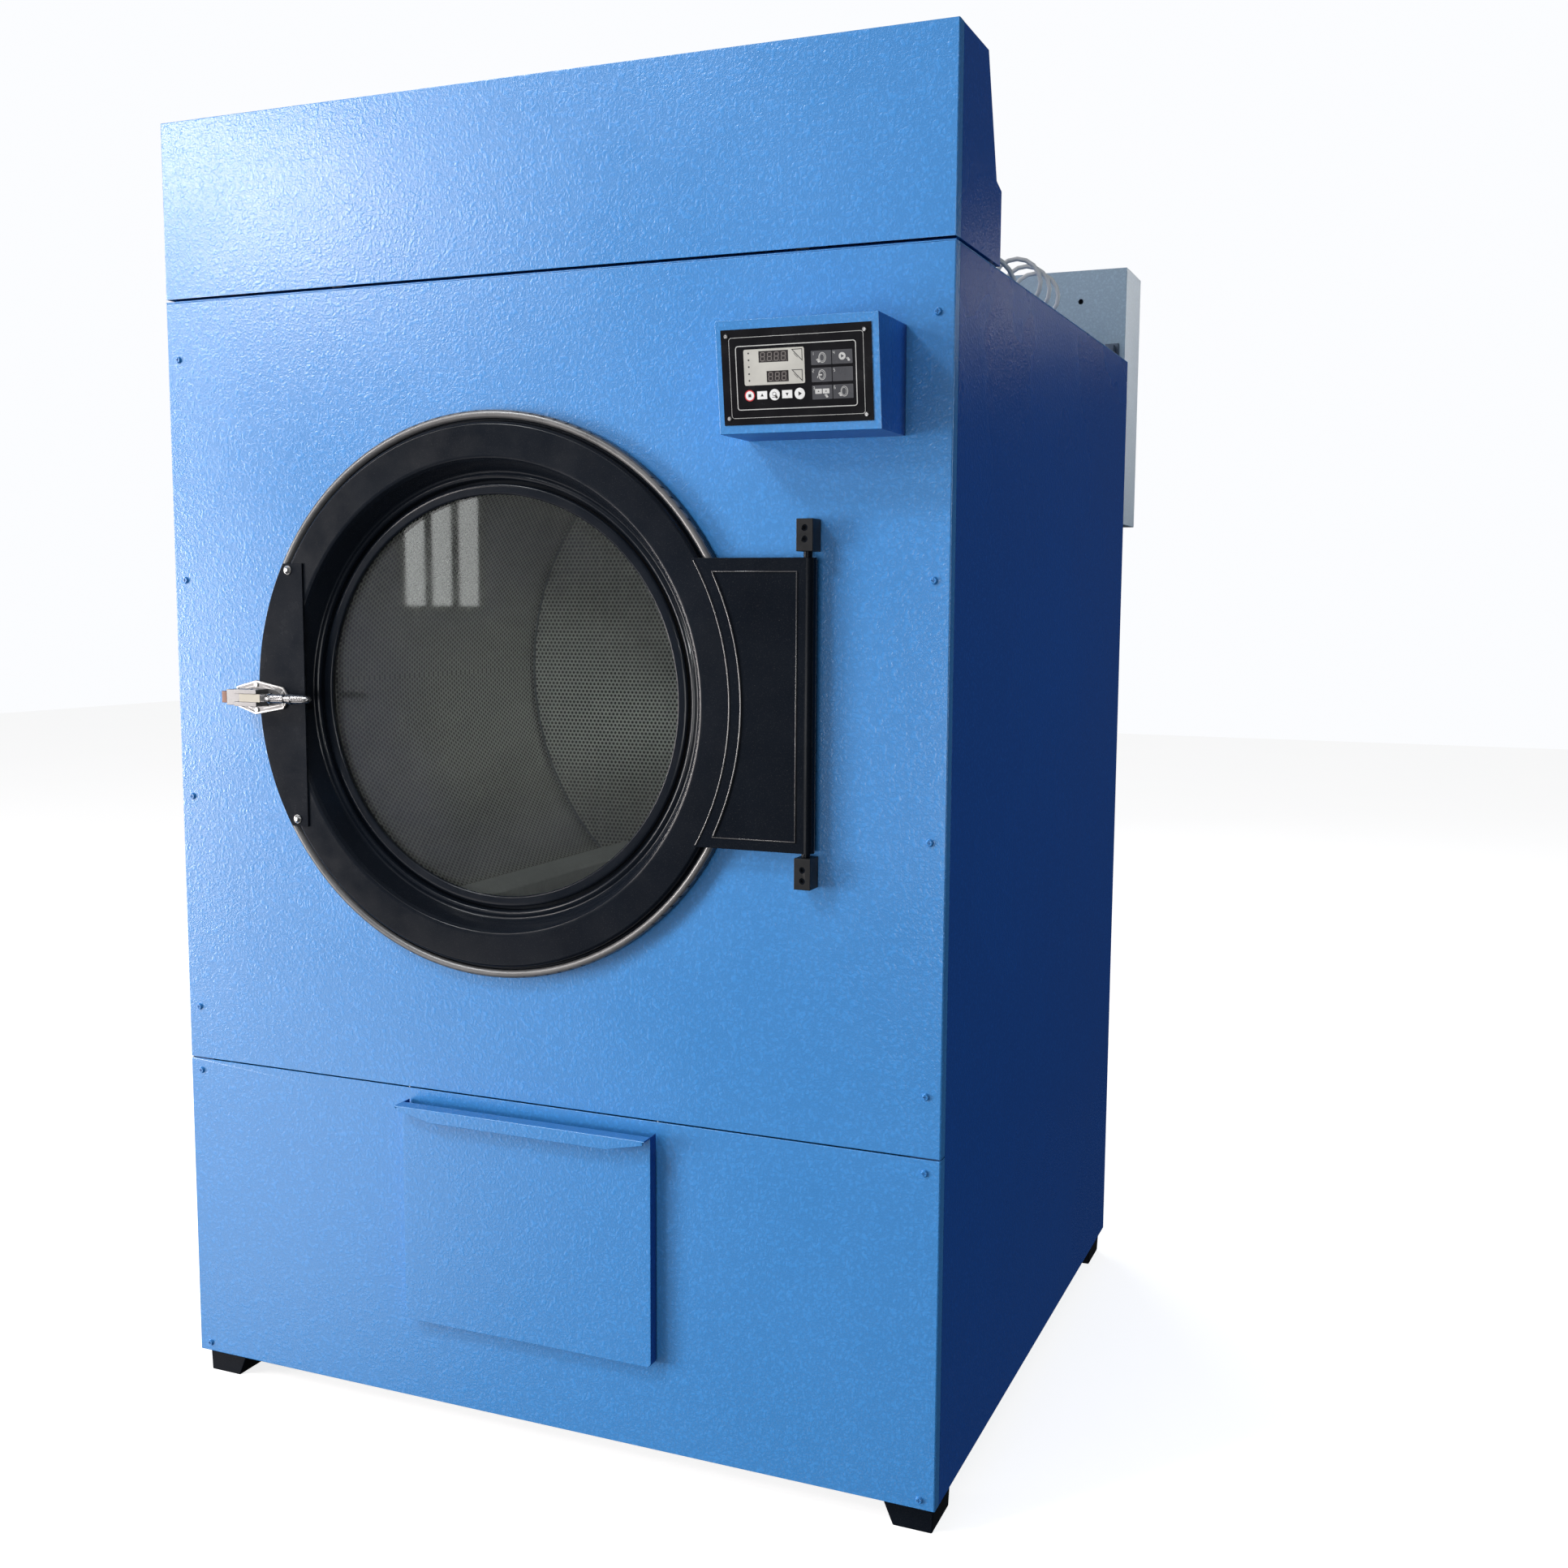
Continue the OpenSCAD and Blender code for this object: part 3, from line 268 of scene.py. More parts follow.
BLUE = (0.042, 0.238, 0.60)
LOOKS = {
    "blue_paint": powder_coat("blue_powder_coat", BLUE),
    # A darker copy of the blue powder coat: painted shade
    "dark_paint": powder_coat("dark_powder_coat_painted_shade", (0.02, 0.055, 0.17), rough=0.45),
    "grey_paint": powder_coat("grey_powder_coat", (0.23, 0.33, 0.43), depth=0.18, rough=0.36),
    "black_paint": enamel("black_enamel", (0.004, 0.006, 0.010)),
    "bare_steel": sheet_metal("stainless", (0.62, 0.62, 0.63), 0.3, 90.0, 1.0, (1, 0.05, 1)),
    "zinc_steel": sheet_metal("galvanised", (0.50, 0.51, 0.53), 0.42),
    "cast": cast_metal("cast_iron", (0.10, 0.12, 0.14)),
    "chrome": sheet_metal("chrome", (0.36, 0.36, 0.37), 0.24, 240.0, 1.0, (1, 1, 1), 0.005),
    "copper_tint": sheet_metal("copper_tint", (0.15, 0.095, 0.08), 0.38, 160.0),
    "rubber": moulded("rubber", (0.012, 0.012, 0.013), 0.6),
    "cable_grey": moulded("cable_sheath", (0.78, 0.79, 0.80), 0.38, 600.0, 0.05),
    "glass": clear_glass("glass"),
    "overlay_black": moulded("black_film", (0.008, 0.008, 0.010), 0.24, 700.0, 0.02, Specular_IOR_Level=0.15),
    "black_plastic": moulded("black_plastic", (0.008, 0.009, 0.011), 0.42, Specular_IOR_Level=0.25),
    "board_green": moulded("circuit_board", (0.03, 0.16, 0.06), 0.4),
    "key_red": moulded("key_red", (0.62, 0.05, 0.06), 0.3),
    "key_white": moulded("key_white", (0.80, 0.82, 0.83), 0.3),
}
ZINC_CAST = sheet_metal("latch_casting", (0.24, 0.24, 0.245), 0.42, 300.0, 1.0, (1, 1, 1), 0.01)
# A darker, deeper blue copy of the blue powder coat: painted shade, worn by the side panels, the header's shell
# and faces that look right or down
SHADE_PAINTED_BLUE = powder_coat("blue_powder_coat_painted_shade", (0.010, 0.095, 0.42), shine=0.2)
PERFORATED_WALL = perforated("perforated_wall", (0.66, 0.65, 0.62), True)
PERFORATED_BACK = perforated("perforated_back", (0.66, 0.65, 0.62), False)
# Partly painted highlight: drum steel, paler than the drum's own so that the lifters' crests read bright
LIFTER_STEEL_PAINTED_HIGHLIGHT = sheet_metal("lifter_steel_painted_highlight", (0.85, 0.85, 0.85), 0.5, 90.0, 0.5, (1, 0.05, 1))
# A grey copy of the door's black enamel for its rolled rim: painted highlight
RIM_PAINTED_HIGHLIGHT = moulded("rolled_rim_painted_highlight", (0.105, 0.106, 0.11), 0.32, Specular_IOR_Level=1.0)
CLIP_STEEL = sheet_metal("clip_steel", (0.10, 0.13, 0.18), 0.5, 200.0)
LATCH_RIM = sheet_metal("latch_rim", (0.80, 0.80, 0.80), 0.3, 240.0, 1.0, (1, 1, 1), 0.005)
RING_ENAMEL = enamel("black_enamel_ring", (0.004, 0.006, 0.010), 0.2, shine=0.2)
# A paler copy of the black enamel for the hinge plate's beads: painted highlight
BEAD = moulded("bead_enamel_painted_highlight", (0.035, 0.036, 0.040), 0.22, Specular_IOR_Level=0.9)

for name, node in NODES.items():
    node.data.materials.clear()
    node.data.materials.append(LOOKS[SLOT_OF[name]])
for name, look in (("drum_shell", PERFORATED_WALL), ("drum_back", PERFORATED_BACK),
                   ("overlay_screws", LATCH_RIM), ("bracket_screws", LATCH_RIM)):
    NODES[name].data.materials[0] = look


# ---------------------------------------------------------------- pieces
def add_piece(name, mesh, body, look):
    piece = bpy.data.objects.new(name, mesh)
    bpy.context.scene.collection.objects.link(piece)
    mesh.materials.clear()
    mesh.materials.append(look)
    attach(piece, body)
    return piece


# ---------------------------------------------------------------- cable
# Millimetres: its radius, the middle line of the three loops, the depths where it leaves the header, begins and
# ends its loops and meets the heater box, and the place of that last gland
CABLE_R = 3.5
CABLE_X, CABLE_Z, LOOP_R = 588, 1786, 34
TURNS, LEAD, STEPS = 3, 10, 16
DEPTHS = (232, 470, 650, 1117)
EXIT_X, EXIT_Z = 540, 1775


def ease(t):
    return t * t * (3 - 2 * t)


def cable_route():
    """The cable's middle line in millimetres: across, depth behind the front panel, height."""
    d0, d1, d2, d3 = DEPTHS
    points = []
    for i in range(LEAD):
        t = i / LEAD
        points.append((CABLE_X + LOOP_R * ease(t) * math.sin(math.pi * t), d0 + (d1 - d0) * t,
                       CABLE_Z - LOOP_R * ease(t) * math.cos(math.pi * t - math.pi)))
    for i in range(TURNS * STEPS + 1):
        a = 2 * math.pi * i / STEPS
        points.append((CABLE_X - LOOP_R * math.sin(a), d1 + (d2 - d1) * i / (TURNS * STEPS),
                       CABLE_Z - LOOP_R * math.cos(a)))
    for i in range(1, LEAD + 1):
        t = i / LEAD
        across = (EXIT_X - CABLE_X) * ease(t) - LOOP_R * (1 - ease(t)) * math.sin(math.pi * t / 2)
        points.append((CABLE_X + across, d2 + (d3 - d2) * t,
                       (CABLE_Z - LOOP_R) * (1 - ease(t)) + EXIT_Z * ease(t)))
    return [Vector((x * MM, FRONT + d * MM, z * MM)) for x, d, z in points]


def tube(name, route, radius, body, slot, closed=False, sides=3, look=None):
    """A round bead, weld or cable along the route, its radius in millimetres."""
    curve = bpy.data.curves.new(name, "CURVE")
    curve.dimensions = "3D"
    curve.bevel_depth = radius * MM
    curve.bevel_resolution = sides
    curve.use_fill_caps = not closed
    spline = curve.splines.new("POLY")
    spline.points.add(len(route) - 1)
    for point, place in zip(spline.points, route):
        point.co = (*place, 1)
    spline.use_smooth = True
    spline.use_cyclic_u = closed
    return add_piece(name, curve, body, look or LOOKS[slot])


def header_cable():
    route = cable_route()
    piece = tube("header_cable", route, CABLE_R, "cabinet", "cable_grey", sides=5)
    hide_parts("cable")


header_cable()


# ---------------------------------------------------------------- rounded sheet and cast pieces
def soften(node, fine=0.4, picks=(), look=None, shaded=None, least=50):
    """A CAD node's own shape with rounded edges: each pick is (width, test of an edge), `fine` is for the rest.
    Faces that look right or down take the `shaded` look, a darker copy of the paint that paints their shade in,
    and only bends above `least` degrees are rounded."""
    bm = bmesh.new()
    bm.from_mesh(NODES[node].data)
    bm.transform(NODES[node].matrix_world)
    bmesh.ops.remove_doubles(bm, verts=bm.verts, dist=1e-6)
    bmesh.ops.dissolve_limit(bm, angle_limit=math.radians(0.3), verts=bm.verts, edges=bm.edges)
    for width, wanted in (*picks, (fine, lambda edge: True)):
        edges = [e for e in bm.edges if len(e.link_faces) == 2 and e.calc_face_angle() > math.radians(least)
                 and e.calc_length() > 4 * width * MM and wanted(e)]
        bmesh.ops.bevel(bm, geom=edges, offset=width * MM, offset_type="OFFSET", profile=0.5, affect="EDGES",
                        segments=3 if width > 1.5 else 2, clamp_overlap=False)
    for side in (-1, 1) if node in CUT_IN else ():
        reach = max(side * v.co.x for v in bm.verts) - CUT_IN[node]
        bmesh.ops.bisect_plane(bm, geom=[*bm.verts, *bm.edges, *bm.faces],
                               plane_co=(side * reach, 0, 0), plane_no=(1, 0, 0))
    mesh = bpy.data.meshes.new(node + "_rounded")
    bm.to_mesh(mesh)
    bm.free()
    mesh.shade_smooth()
    mesh.set_sharp_from_angle(angle=math.radians(48))
    piece = add_piece(node + "_rounded", mesh, BODY_OF[node], look or LOOKS[SLOT_OF[node]])
    piece.modifiers.new("even_shading", "WEIGHTED_NORMAL").keep_sharp = True
    # Painted shade: faces that look right or down take the darker `shaded` copy of the paint
    if shaded:
        mesh.materials.append(shaded)
        for face in mesh.polygons:
            face.material_index = int(face.normal.x > 0.7 or face.normal.z < -0.7)
    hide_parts(node)


HALF_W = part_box("front_panel_upper")[1].x


def in_front(edge):
    return all(v.co.y < FRONT + 0.1 * MM for v in edge.verts)


def corner_bend(edge):
    """The outer bends down the two sides of a front sheet."""
    a, b = (v.co for v in edge.verts)
    return in_front(edge) and min(abs(a.x), abs(b.x)) > HALF_W - 0.1 * MM and abs(a.z - b.z) > 0.1


def seam_bend(edge):
    """The long level bends where two front sheets meet."""
    a, b = (v.co for v in edge.verts)
    return in_front(edge) and abs(a.z - b.z) < 0.1 * MM and abs(a.x - b.x) > 1.2


LIP_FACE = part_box("lint_front")[0].y
LIP_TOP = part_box("lint_front")[1].z


def lip_bend(edge):
    """The lint drawer's lip, where its top folds down."""
    return all(v.co.y < LIP_FACE + 0.1 * MM and v.co.z > LIP_TOP - 0.1 * MM for v in edge.verts)


# Faces of these pieces that look right or down wear the painted-shade copy of the blue coat
IN_SHADE = {"control_box": SHADE_PAINTED_BLUE, "lint_front": SHADE_PAINTED_BLUE}
PICKS = {"lint_front": ((1.8, lip_bend),)}
# Long faces are cut across this far from their ends, which keeps the ends' shading off the middle
CUT_IN = {"lint_front": 6 * MM}
# The side panels and the header's shell wear the painted-shade copy of the blue coat
OWN_LOOK = {"side_panel_left": SHADE_PAINTED_BLUE, "side_panel_right": SHADE_PAINTED_BLUE, "header_shell": SHADE_PAINTED_BLUE,
            # The drum lifters wear a paler copy of the drum's steel, with painted highlight
            "latch_body": ZINC_CAST, "heater_latch": CLIP_STEEL, "drum_lifters": LIFTER_STEEL_PAINTED_HIGHLIGHT}
# Widths of the rounded edges in millimetres
EDGES = {"side_panel_left": 0.5, "side_panel_right": 0.5, "roof_panel": 0.6, "header_shell": 0.8,
         "rear_panel": 0.4, "control_box": 1.1, "heater_box": 1.2, "heater_latch": 1.0,
         "belt_guard": 1.2, "lint_front": 0.8, "feet": 2.0, "hinge_blocks": 1.0,
         "hinge_plate": 0.5, "latch_bracket": 0.5, "latch_body": 0.6, "latch_keeper": 0.6,
         "latch_bolt": 0.5, "bearing_housings": 1.5, "fan_motor": 1.5, "drum_motor": 1.5,
         "drum_lifters": 2.5}
FRONT_EDGE, CORNER_BEND, SEAM_BEND = 0.3, 2.2, 1.3
RING_EDGE, RING_BENDS = 0.8, 18
for node in ("front_panel_upper", "front_panel_lower", "header_front"):
    soften(node, FRONT_EDGE, ((CORNER_BEND, corner_bend), (SEAM_BEND, seam_bend)))
for node, width in EDGES.items():
    soften(node, width, PICKS.get(node, ()), OWN_LOOK.get(node), IN_SHADE.get(node))

for node in ("door_ring", "glass_ring"):
    soften(node, RING_EDGE, look=RING_ENAMEL, least=RING_BENDS)


def arc(radius, low, high, depth, steps=40):
    """Points round the door's axis between two angles, at a depth behind the front panel in millimetres."""
    points = []
    for i in range(steps + 1):
        a = math.radians(low + (high - low) * i / steps)
        across, up = radius * MM * math.cos(a), radius * MM * math.sin(a)
        points.append(Vector((AXIS_X + across, FRONT + depth * MM, AXIS_Z + up)))
    return points


# Beads in millimetres: radius of the middle line and of the bead, and depth behind the front panel
RIM_R, RIM_BEAD, RIM_D = 407, 6.1, -14.3
FIELD_R, FIELD_BEAD = 408, 1.5
WELD_R, WELD_BEAD = 391, 1.4
PLATE_D, PLATE_X, PLATE_TOP, PLATE_LOW = -28, 437, 1329, 966
SEAM_R, SEAM_BEAD, SEAM_D = 533, 2.2, 997


def beads():
    """The door ring's rolled rim, the hinge plate's pressed field and weld, and the seam at the drum's back."""
    rim = arc(RIM_R, 0, 357, RIM_D, 119)
    # The rim is painted paler than the ring's enamel, a painted highlight
    tube("door_rim_roll", rim, RIM_BEAD, "door", "black_paint", closed=True, sides=6, look=RIM_PAINTED_HIGHLIGHT)
    field = arc(FIELD_R, -26.2, 26.6, PLATE_D)
    field += [Vector((PLATE_X * MM, FRONT + PLATE_D * MM, z * MM)) for z in (PLATE_TOP, PLATE_LOW)]
    # The bead and the weld wear the paler enamel, a painted highlight
    tube("hinge_plate_bead", field, FIELD_BEAD, "door", "black_paint", closed=True, look=BEAD)
    weld = arc(WELD_R, -29.5, 30.5, PLATE_D)
    tube("hinge_plate_weld", weld, WELD_BEAD, "door", "black_paint", look=BEAD)
    seam = arc(SEAM_R, 0, 354, SEAM_D, 59)
    tube("drum_back_seam", seam, SEAM_BEAD, "drum", "bare_steel", closed=True, look=LOOKS["cast"])


beads()


# ---------------------------------------------------------------- printed face of the controls
# The sloping face: its lean, the corner it is measured from, and heights above it in millimetres
FASCIA_TILT = math.radians(7.27)
FASCIA_CORNER = Vector((354 * MM, FRONT - 92 * MM, 1503 * MM))
FILM = 1.0
KEY_TOP = 1.4
DISPLAY_TOP = 0.5
INK = 0.06


def fascia_place():
    """From millimetres on the sloping face (across, up the slope, outwards) to the row frame."""
    c, s = math.cos(FASCIA_TILT), math.sin(FASCIA_TILT)
    lean = Matrix(((1, 0, 0, 0), (0, -s, -c, 0), (0, c, -s, 0), (0, 0, 0, 1)))
    return Matrix.Translation(FASCIA_CORNER) @ lean @ Matrix.Scale(MM, 4)


FASCIA = fascia_place()


def rounded(x0, y0, x1, y1, r, steps=6):
    points = []
    corners = ((x1 - r, y0 + r, -90), (x1 - r, y1 - r, 0), (x0 + r, y1 - r, 90), (x0 + r, y0 + r, 180))
    for cx, cy, start in corners:
        for i in range(steps + 1):
            a = math.radians(start + 90 * i / steps)
            points.append((cx + r * math.cos(a), cy + r * math.sin(a)))
    return points


def outline(x0, y0, x1, y1, r, w):
    return [rounded(x0, y0, x1, y1, r), rounded(x0 + w, y0 + w, x1 - w, y1 - w, r - w)]


def oval(cx, cy, rx, ry=None, steps=32):
    ry = ry or rx
    angles = [2 * math.pi * i / steps for i in range(steps)]
    return [(cx + rx * math.cos(a), cy + ry * math.sin(a)) for a in angles]


def ring(cx, cy, rx, ry, w):
    return [oval(cx, cy, rx, ry), oval(cx, cy, rx - w, ry - w)]


def stroke(points, width):
    """A line of even width along the points."""
    left, right = [], []
    for i, (x, y) in enumerate(points):
        a, b = points[max(i - 1, 0)], points[min(i + 1, len(points) - 1)]
        along = Vector((b[0] - a[0], b[1] - a[1])).normalized() * width / 2
        left.append((x - along.y, y + along.x))
        right.append((x + along.y, y - along.x))
    return [left + right[::-1]]


def bar(p, q, width):
    """One display segment: a bar with pointed ends."""
    p, q = Vector(p), Vector(q)
    along = (q - p).normalized() * width / 2
    side = Vector((-along.y, along.x))
    corners = (p, p + along + side, q - along + side, q, q - along - side, p + along - side)
    return [[tuple(c) for c in corners]]


SEGMENTS = {1: "bc", 2: "abged", 3: "abgcd", 4: "fgbc", 5: "afgcd", 6: "afgedc", 8: "abcdefg"}


def digit(value, x, y, w, h, t, lean=0.0):
    ends = {"a": ((0, 2), (1, 2)), "b": ((1, 1), (1, 2)), "c": ((1, 0), (1, 1)), "d": ((0, 0), (1, 0)),
            "e": ((0, 0), (0, 1)), "f": ((0, 1), (0, 2)), "g": ((0, 1), (1, 1))}
    shapes = []
    for segment in SEGMENTS[value]:
        p, q = (Vector((x + i * w + j * h / 2 * lean, y + j * h / 2)) for i, j in ends[segment])
        gap = (q - p).normalized() * t * 0.12
        shapes.append(bar(p + gap, q - gap, t))
    return shapes


def prisms(name, shapes, place, body, look):
    """Thin flat shapes, each a list of loops (outline first, then its holes), from z0 to z1 at a place."""
    bm = bmesh.new()
    for loops, z0, z1 in shapes:
        flat = [point for loop in loops for point in loop]
        low, high = ([bm.verts.new(place @ Vector((x, y, z))) for x, y in flat] for z in (z0, z1))
        for a, b, c in tessellate_polygon([[Vector((x, y, 0)) for x, y in loop] for loop in loops]):
            bm.faces.new((high[a], high[b], high[c]))
            bm.faces.new((low[c], low[b], low[a]))
        first = 0
        for loop in loops:
            for i in range(len(loop)):
                j, k = first + i, first + (i + 1) % len(loop)
                bm.faces.new((low[j], low[k], high[k], high[j]))
            first += len(loop)
    bmesh.ops.recalc_face_normals(bm, faces=bm.faces)
    mesh = bpy.data.meshes.new(name)
    bm.to_mesh(mesh)
    bm.free()
    return add_piece(name, mesh, body, look)


def ink(name, shapes, z, look, body="cabinet"):
    return prisms(name, [(loops, z, z + INK) for loops in shapes], FASCIA, body, look)


def hand(x, y):
    """A small pointing hand: a palm and three fingers."""
    fingers = [stroke([(x, y), (x - 2.6, y + 2.2)], 0.9),
               stroke([(x + 0.6, y + 0.4), (x - 1.2, y + 2.9)], 0.8),
               stroke([(x + 1.2, y + 0.4), (x + 0.4, y + 2.6)], 0.7)]
    return fingers + [[oval(x + 0.7, y - 0.5, 1.7, 1.2, 20)]]


def drum_icon(x, y):
    handle = stroke([(x - 6.4, y - 4), (x - 5.6, y - 1)], 0.7)
    return [ring(x, y, 4.9, 6.4, 0.7), ring(x - 0.4, y, 3.3, 4.8, 0.5), handle]


PALE = moulded("print_pale", (0.52, 0.53, 0.53), 0.4)
TILE = moulded("print_tile", (0.075, 0.078, 0.088), 0.3, Specular_IOR_Level=0.2)
WINDOW = moulded("print_window", (0.50, 0.50, 0.47), 0.36)
DARK = moulded("print_dark", (0.016, 0.016, 0.018), 0.4)
LCD = moulded("display_dark", (0.030, 0.027, 0.028), 0.22)
SEGMENT = moulded("display_segment", (0.17, 0.155, 0.15), 0.3)
WHITE = LOOKS["key_white"]
IVORY = moulded("lever_face", (0.46, 0.43, 0.36), 0.4)

# Across and up the face in millimetres; each display ends with its number of digits
FRAMES = ((18.8, 19.5, 201.3, 120, 0.55), (27.5, 29.5, 191.3, 109.5, 1.1))
DISPLAYS = ((59.6, 87.8, 100.2, 101.8, 4), (69.8, 63.2, 99.8, 77.0, 3))
LAMP_X, LAMP_YS = 45.6, (99.9, 91.4, 83.0, 74.3, 66.0)
TILE_XS, TILE_YS, TILE_W, TILE_H = (131.0, 159.1), (81.4, 60.5, 39.3), 27.0, 17.2
KEYS = ("stop", "up", "set", "down", "run")
KEY_XS, KEY_Y = (45.3, 62.5, 79.7, 96.9, 114.1), 47.5


def controls_print():
    window = [rounded(38.8, 60, 121.9, 104.5, 2.5)]
    window += [[(a, b), (c, b), (c, d), (a, d)] for a, b, c, d, _ in DISPLAYS]
    ink("overlay_window", [window], FILM, WINDOW)
    tiles = [[rounded(x, y, x + TILE_W, y + TILE_H, 0.6, 2)] for x in TILE_XS for y in TILE_YS]
    ink("overlay_tiles", tiles, FILM, TILE)
    frames = [outline(x0, y0, x1, y1, 4, width) for x0, y0, x1, y1, width in FRAMES]
    ink("overlay_outlines", frames, FILM, PALE)
    marks = [[oval(LAMP_X, y, 1.15, steps=20)] for y in LAMP_YS]
    for x0, x1, y1, y0 in ((104.4, 119.4, 102.4, 87.0), (103.8, 118.8, 77.3, 62.0)):
        outer = [(x0, y1), (x1, y1), (x1, y0)]
        inner = [(x0 + 2.2, y1 - 0.9), (x1 - 0.9, y1 - 0.9), (x1 - 0.9, y0 + 2.2)]
        marks.append([outer, inner])
        marks.append(stroke([(x0 + 3.4, y1 - 5.2), (x0 + 8.4, y1 - 10.4)], 0.6))
    ink("overlay_marks", marks, FILM + INK, DARK)
    signs = []
    for column, x in enumerate(TILE_XS):
        for row, y in enumerate(TILE_YS):
            signs += digit(1 + row + 3 * column, x + 1.6, y + TILE_H - 5.2, 1.7, 3.6, 0.55)
    (left, right), (top, middle, low) = TILE_XS, TILE_YS
    for x, y in ((left + 15, top + 8.6), (left + 14, middle + 8.6), (right + 15, low + 8.6)):
        signs += drum_icon(x, y)
    signs += hand(left + 9.5, top + 4.4) + hand(right + 21.5, top + 4.6) + hand(left + 19, low + 3.4)
    signs += hand(right + 9.5, low + 4.4)
    signs.append(stroke([(left + 9.5, middle + 8.6), (left + 14, middle + 8.6)], 1.6))
    arrow = [(right + 12, top + 6.9), (right + 16, top + 9.2), (right + 12, top + 11.5)]
    signs.append([oval(right + 13.5, top + 9.2, 4.6), arrow])
    for x in (left + 4.0, left + 14.2):
        y = low + 6.8
        arrow = [(x + 3.2, y + 2.2), (x + 5.8, y + 2.2), (x + 4.5, y + 4.2)]
        signs.append([rounded(x, y, x + 9, y + 6, 0.5, 2), arrow])
    ink("overlay_signs", signs, FILM + INK, PALE)
    faces, segments = [], []
    for a, b, c, d, count in DISPLAYS:
        faces.append([[(a, b), (c, b), (c, d), (a, d)]])
        pitch = (c - a - 2.6) / count
        width = pitch * 0.56
        for i in range(count):
            x = a + 2.3 + i * pitch
            segments += digit(8, x, b + 2.0, width, d - b - 4.0, 1.15, 0.06)
            segments.append([oval(x + width + 1.9, b + 1.7, 0.5, steps=12)])
    ink("display_faces", faces, DISPLAY_TOP, LCD)
    ink("display_segments", segments, DISPLAY_TOP + INK, SEGMENT)


def key_print():
    x = dict(zip(KEYS, KEY_XS))
    y = KEY_Y
    ink("key_stop_disc", [[oval(x["stop"], y, 5.7)]], KEY_TOP, WHITE, "stop_key")
    ink("key_run_disc", [[oval(x["run"], y, 6.0)]], KEY_TOP, WHITE, "run_key")
    square = [rounded(x["stop"] - 1.9, y - 1.9, x["stop"] + 1.9, y + 1.9, 0.3, 2)]
    play = [[(x["run"] - 1.7, y - 2.8), (x["run"] + 3.0, y), (x["run"] - 1.7, y + 2.8)]]
    rise = [[(x["up"] - 2.1, y - 1.6), (x["up"] + 2.1, y - 1.6), (x["up"], y + 2.3)]]
    fall = [[(x["down"] - 2.1, y + 1.6), (x["down"], y - 2.3), (x["down"] + 2.1, y + 1.6)]]
    choose = [ring(x["set"] - 0.4, y + 0.8, 2.7, 2.7, 0.6),
              stroke([(x["set"] - 3.6, y - 3.2), (x["set"] + 2.6, y - 3.2)], 0.7)]
    choose += hand(x["set"] + 2.0, y - 3.0)
    ink("key_stop_mark", [square], KEY_TOP + INK, DARK, "stop_key")
    ink("key_run_mark", [play], KEY_TOP + INK, DARK, "run_key")
    ink("key_up_mark", [rise], KEY_TOP, DARK, "up_key")
    ink("key_down_mark", [fall], KEY_TOP, DARK, "down_key")
    ink("key_set_mark", choose, KEY_TOP, DARK, "set_key")


controls_print()
key_print()


# ---------------------------------------------------------------- latch
# Its pivot, and the turned handle's profile: (distance from the pivot, radius, depth of flutes) in millimetres
LATCH_X, LATCH_Z, LATCH_D = -452, 1138, -50
HANDLE = ((29, 4.4, 0), (34, 4.6, 0), (34.6, 7.2, 0), (36, 8.0, 0), (39, 8.0, 0), (40, 6.9, 0),
          (43, 6.8, 0.7), (62, 6.8, 0.7), (64, 6.6, 0), (65, 5.0, 0), (67, 5.0, 0), (68, 6.9, 0),
          (73, 6.9, 0), (74, 8.0, 0), (78, 8.0, 0), (79, 6.9, 0), (82, 6.9, 0.6), (98, 6.4, 0.6),
          (103, 6.0, 0), (108, 5.2, 0), (111, 3.6, 0), (112, 1.6, 0))
FLUTES = 12
# The latch body's seven corners, the short ribs on it and its screws, as (across, height) with a radius
BASE = ((-497, 1154), (-459, 1164), (-408, 1154), (-396, 1139), (-408, 1121), (-461, 1111), (-495, 1122))
RIBS = (((-490, 1148), (-460, 1156), 0.9), ((-446, 1154), (-410, 1147), 0.9), ((-432, 1155), (-410, 1143), 0.8),
        ((-488, 1127), (-462, 1119), 0.9), ((-446, 1121), (-412, 1127), 0.9))
RIVETS = ((-459, 1157.2, 3.6), (-459, 1118, 3.6), (-409, 1146, 2.4), (-409, 1127.5, 2.4))
BASE_D = -31


def front_place(depth):
    """From millimetres (across, up, outwards from that depth) to the row frame."""
    lean = Matrix(((1, 0, 0, 0), (0, 0, -1, 0), (0, 1, 0, 0), (0, 0, 0, 1)))
    return Matrix.Translation((0, FRONT + depth * MM, 0)) @ lean @ Matrix.Scale(MM, 4)


def turned(rings, centre, steps):
    """Round work along X: rings of (x, radius, flute depth) about a middle line at a depth and height."""
    bm = bmesh.new()
    loops = []
    for x, r, flute in rings:
        loop = []
        for i in range(steps):
            a = 2 * math.pi * i / steps
            reach = (r - flute * (0.5 + 0.5 * math.cos(a * FLUTES))) * MM
            place = (x * MM, centre.y + reach * math.sin(a), centre.z + reach * math.cos(a))
            loop.append(bm.verts.new(place))
        loops.append(loop)
    for low, high in zip(loops, loops[1:]):
        for i in range(steps):
            j = (i + 1) % steps
            bm.faces.new((low[i], low[j], high[j], high[i]))
    bm.faces.new(loops[0])
    bm.faces.new(loops[-1][::-1])
    bmesh.ops.recalc_face_normals(bm, faces=bm.faces)
    return bm


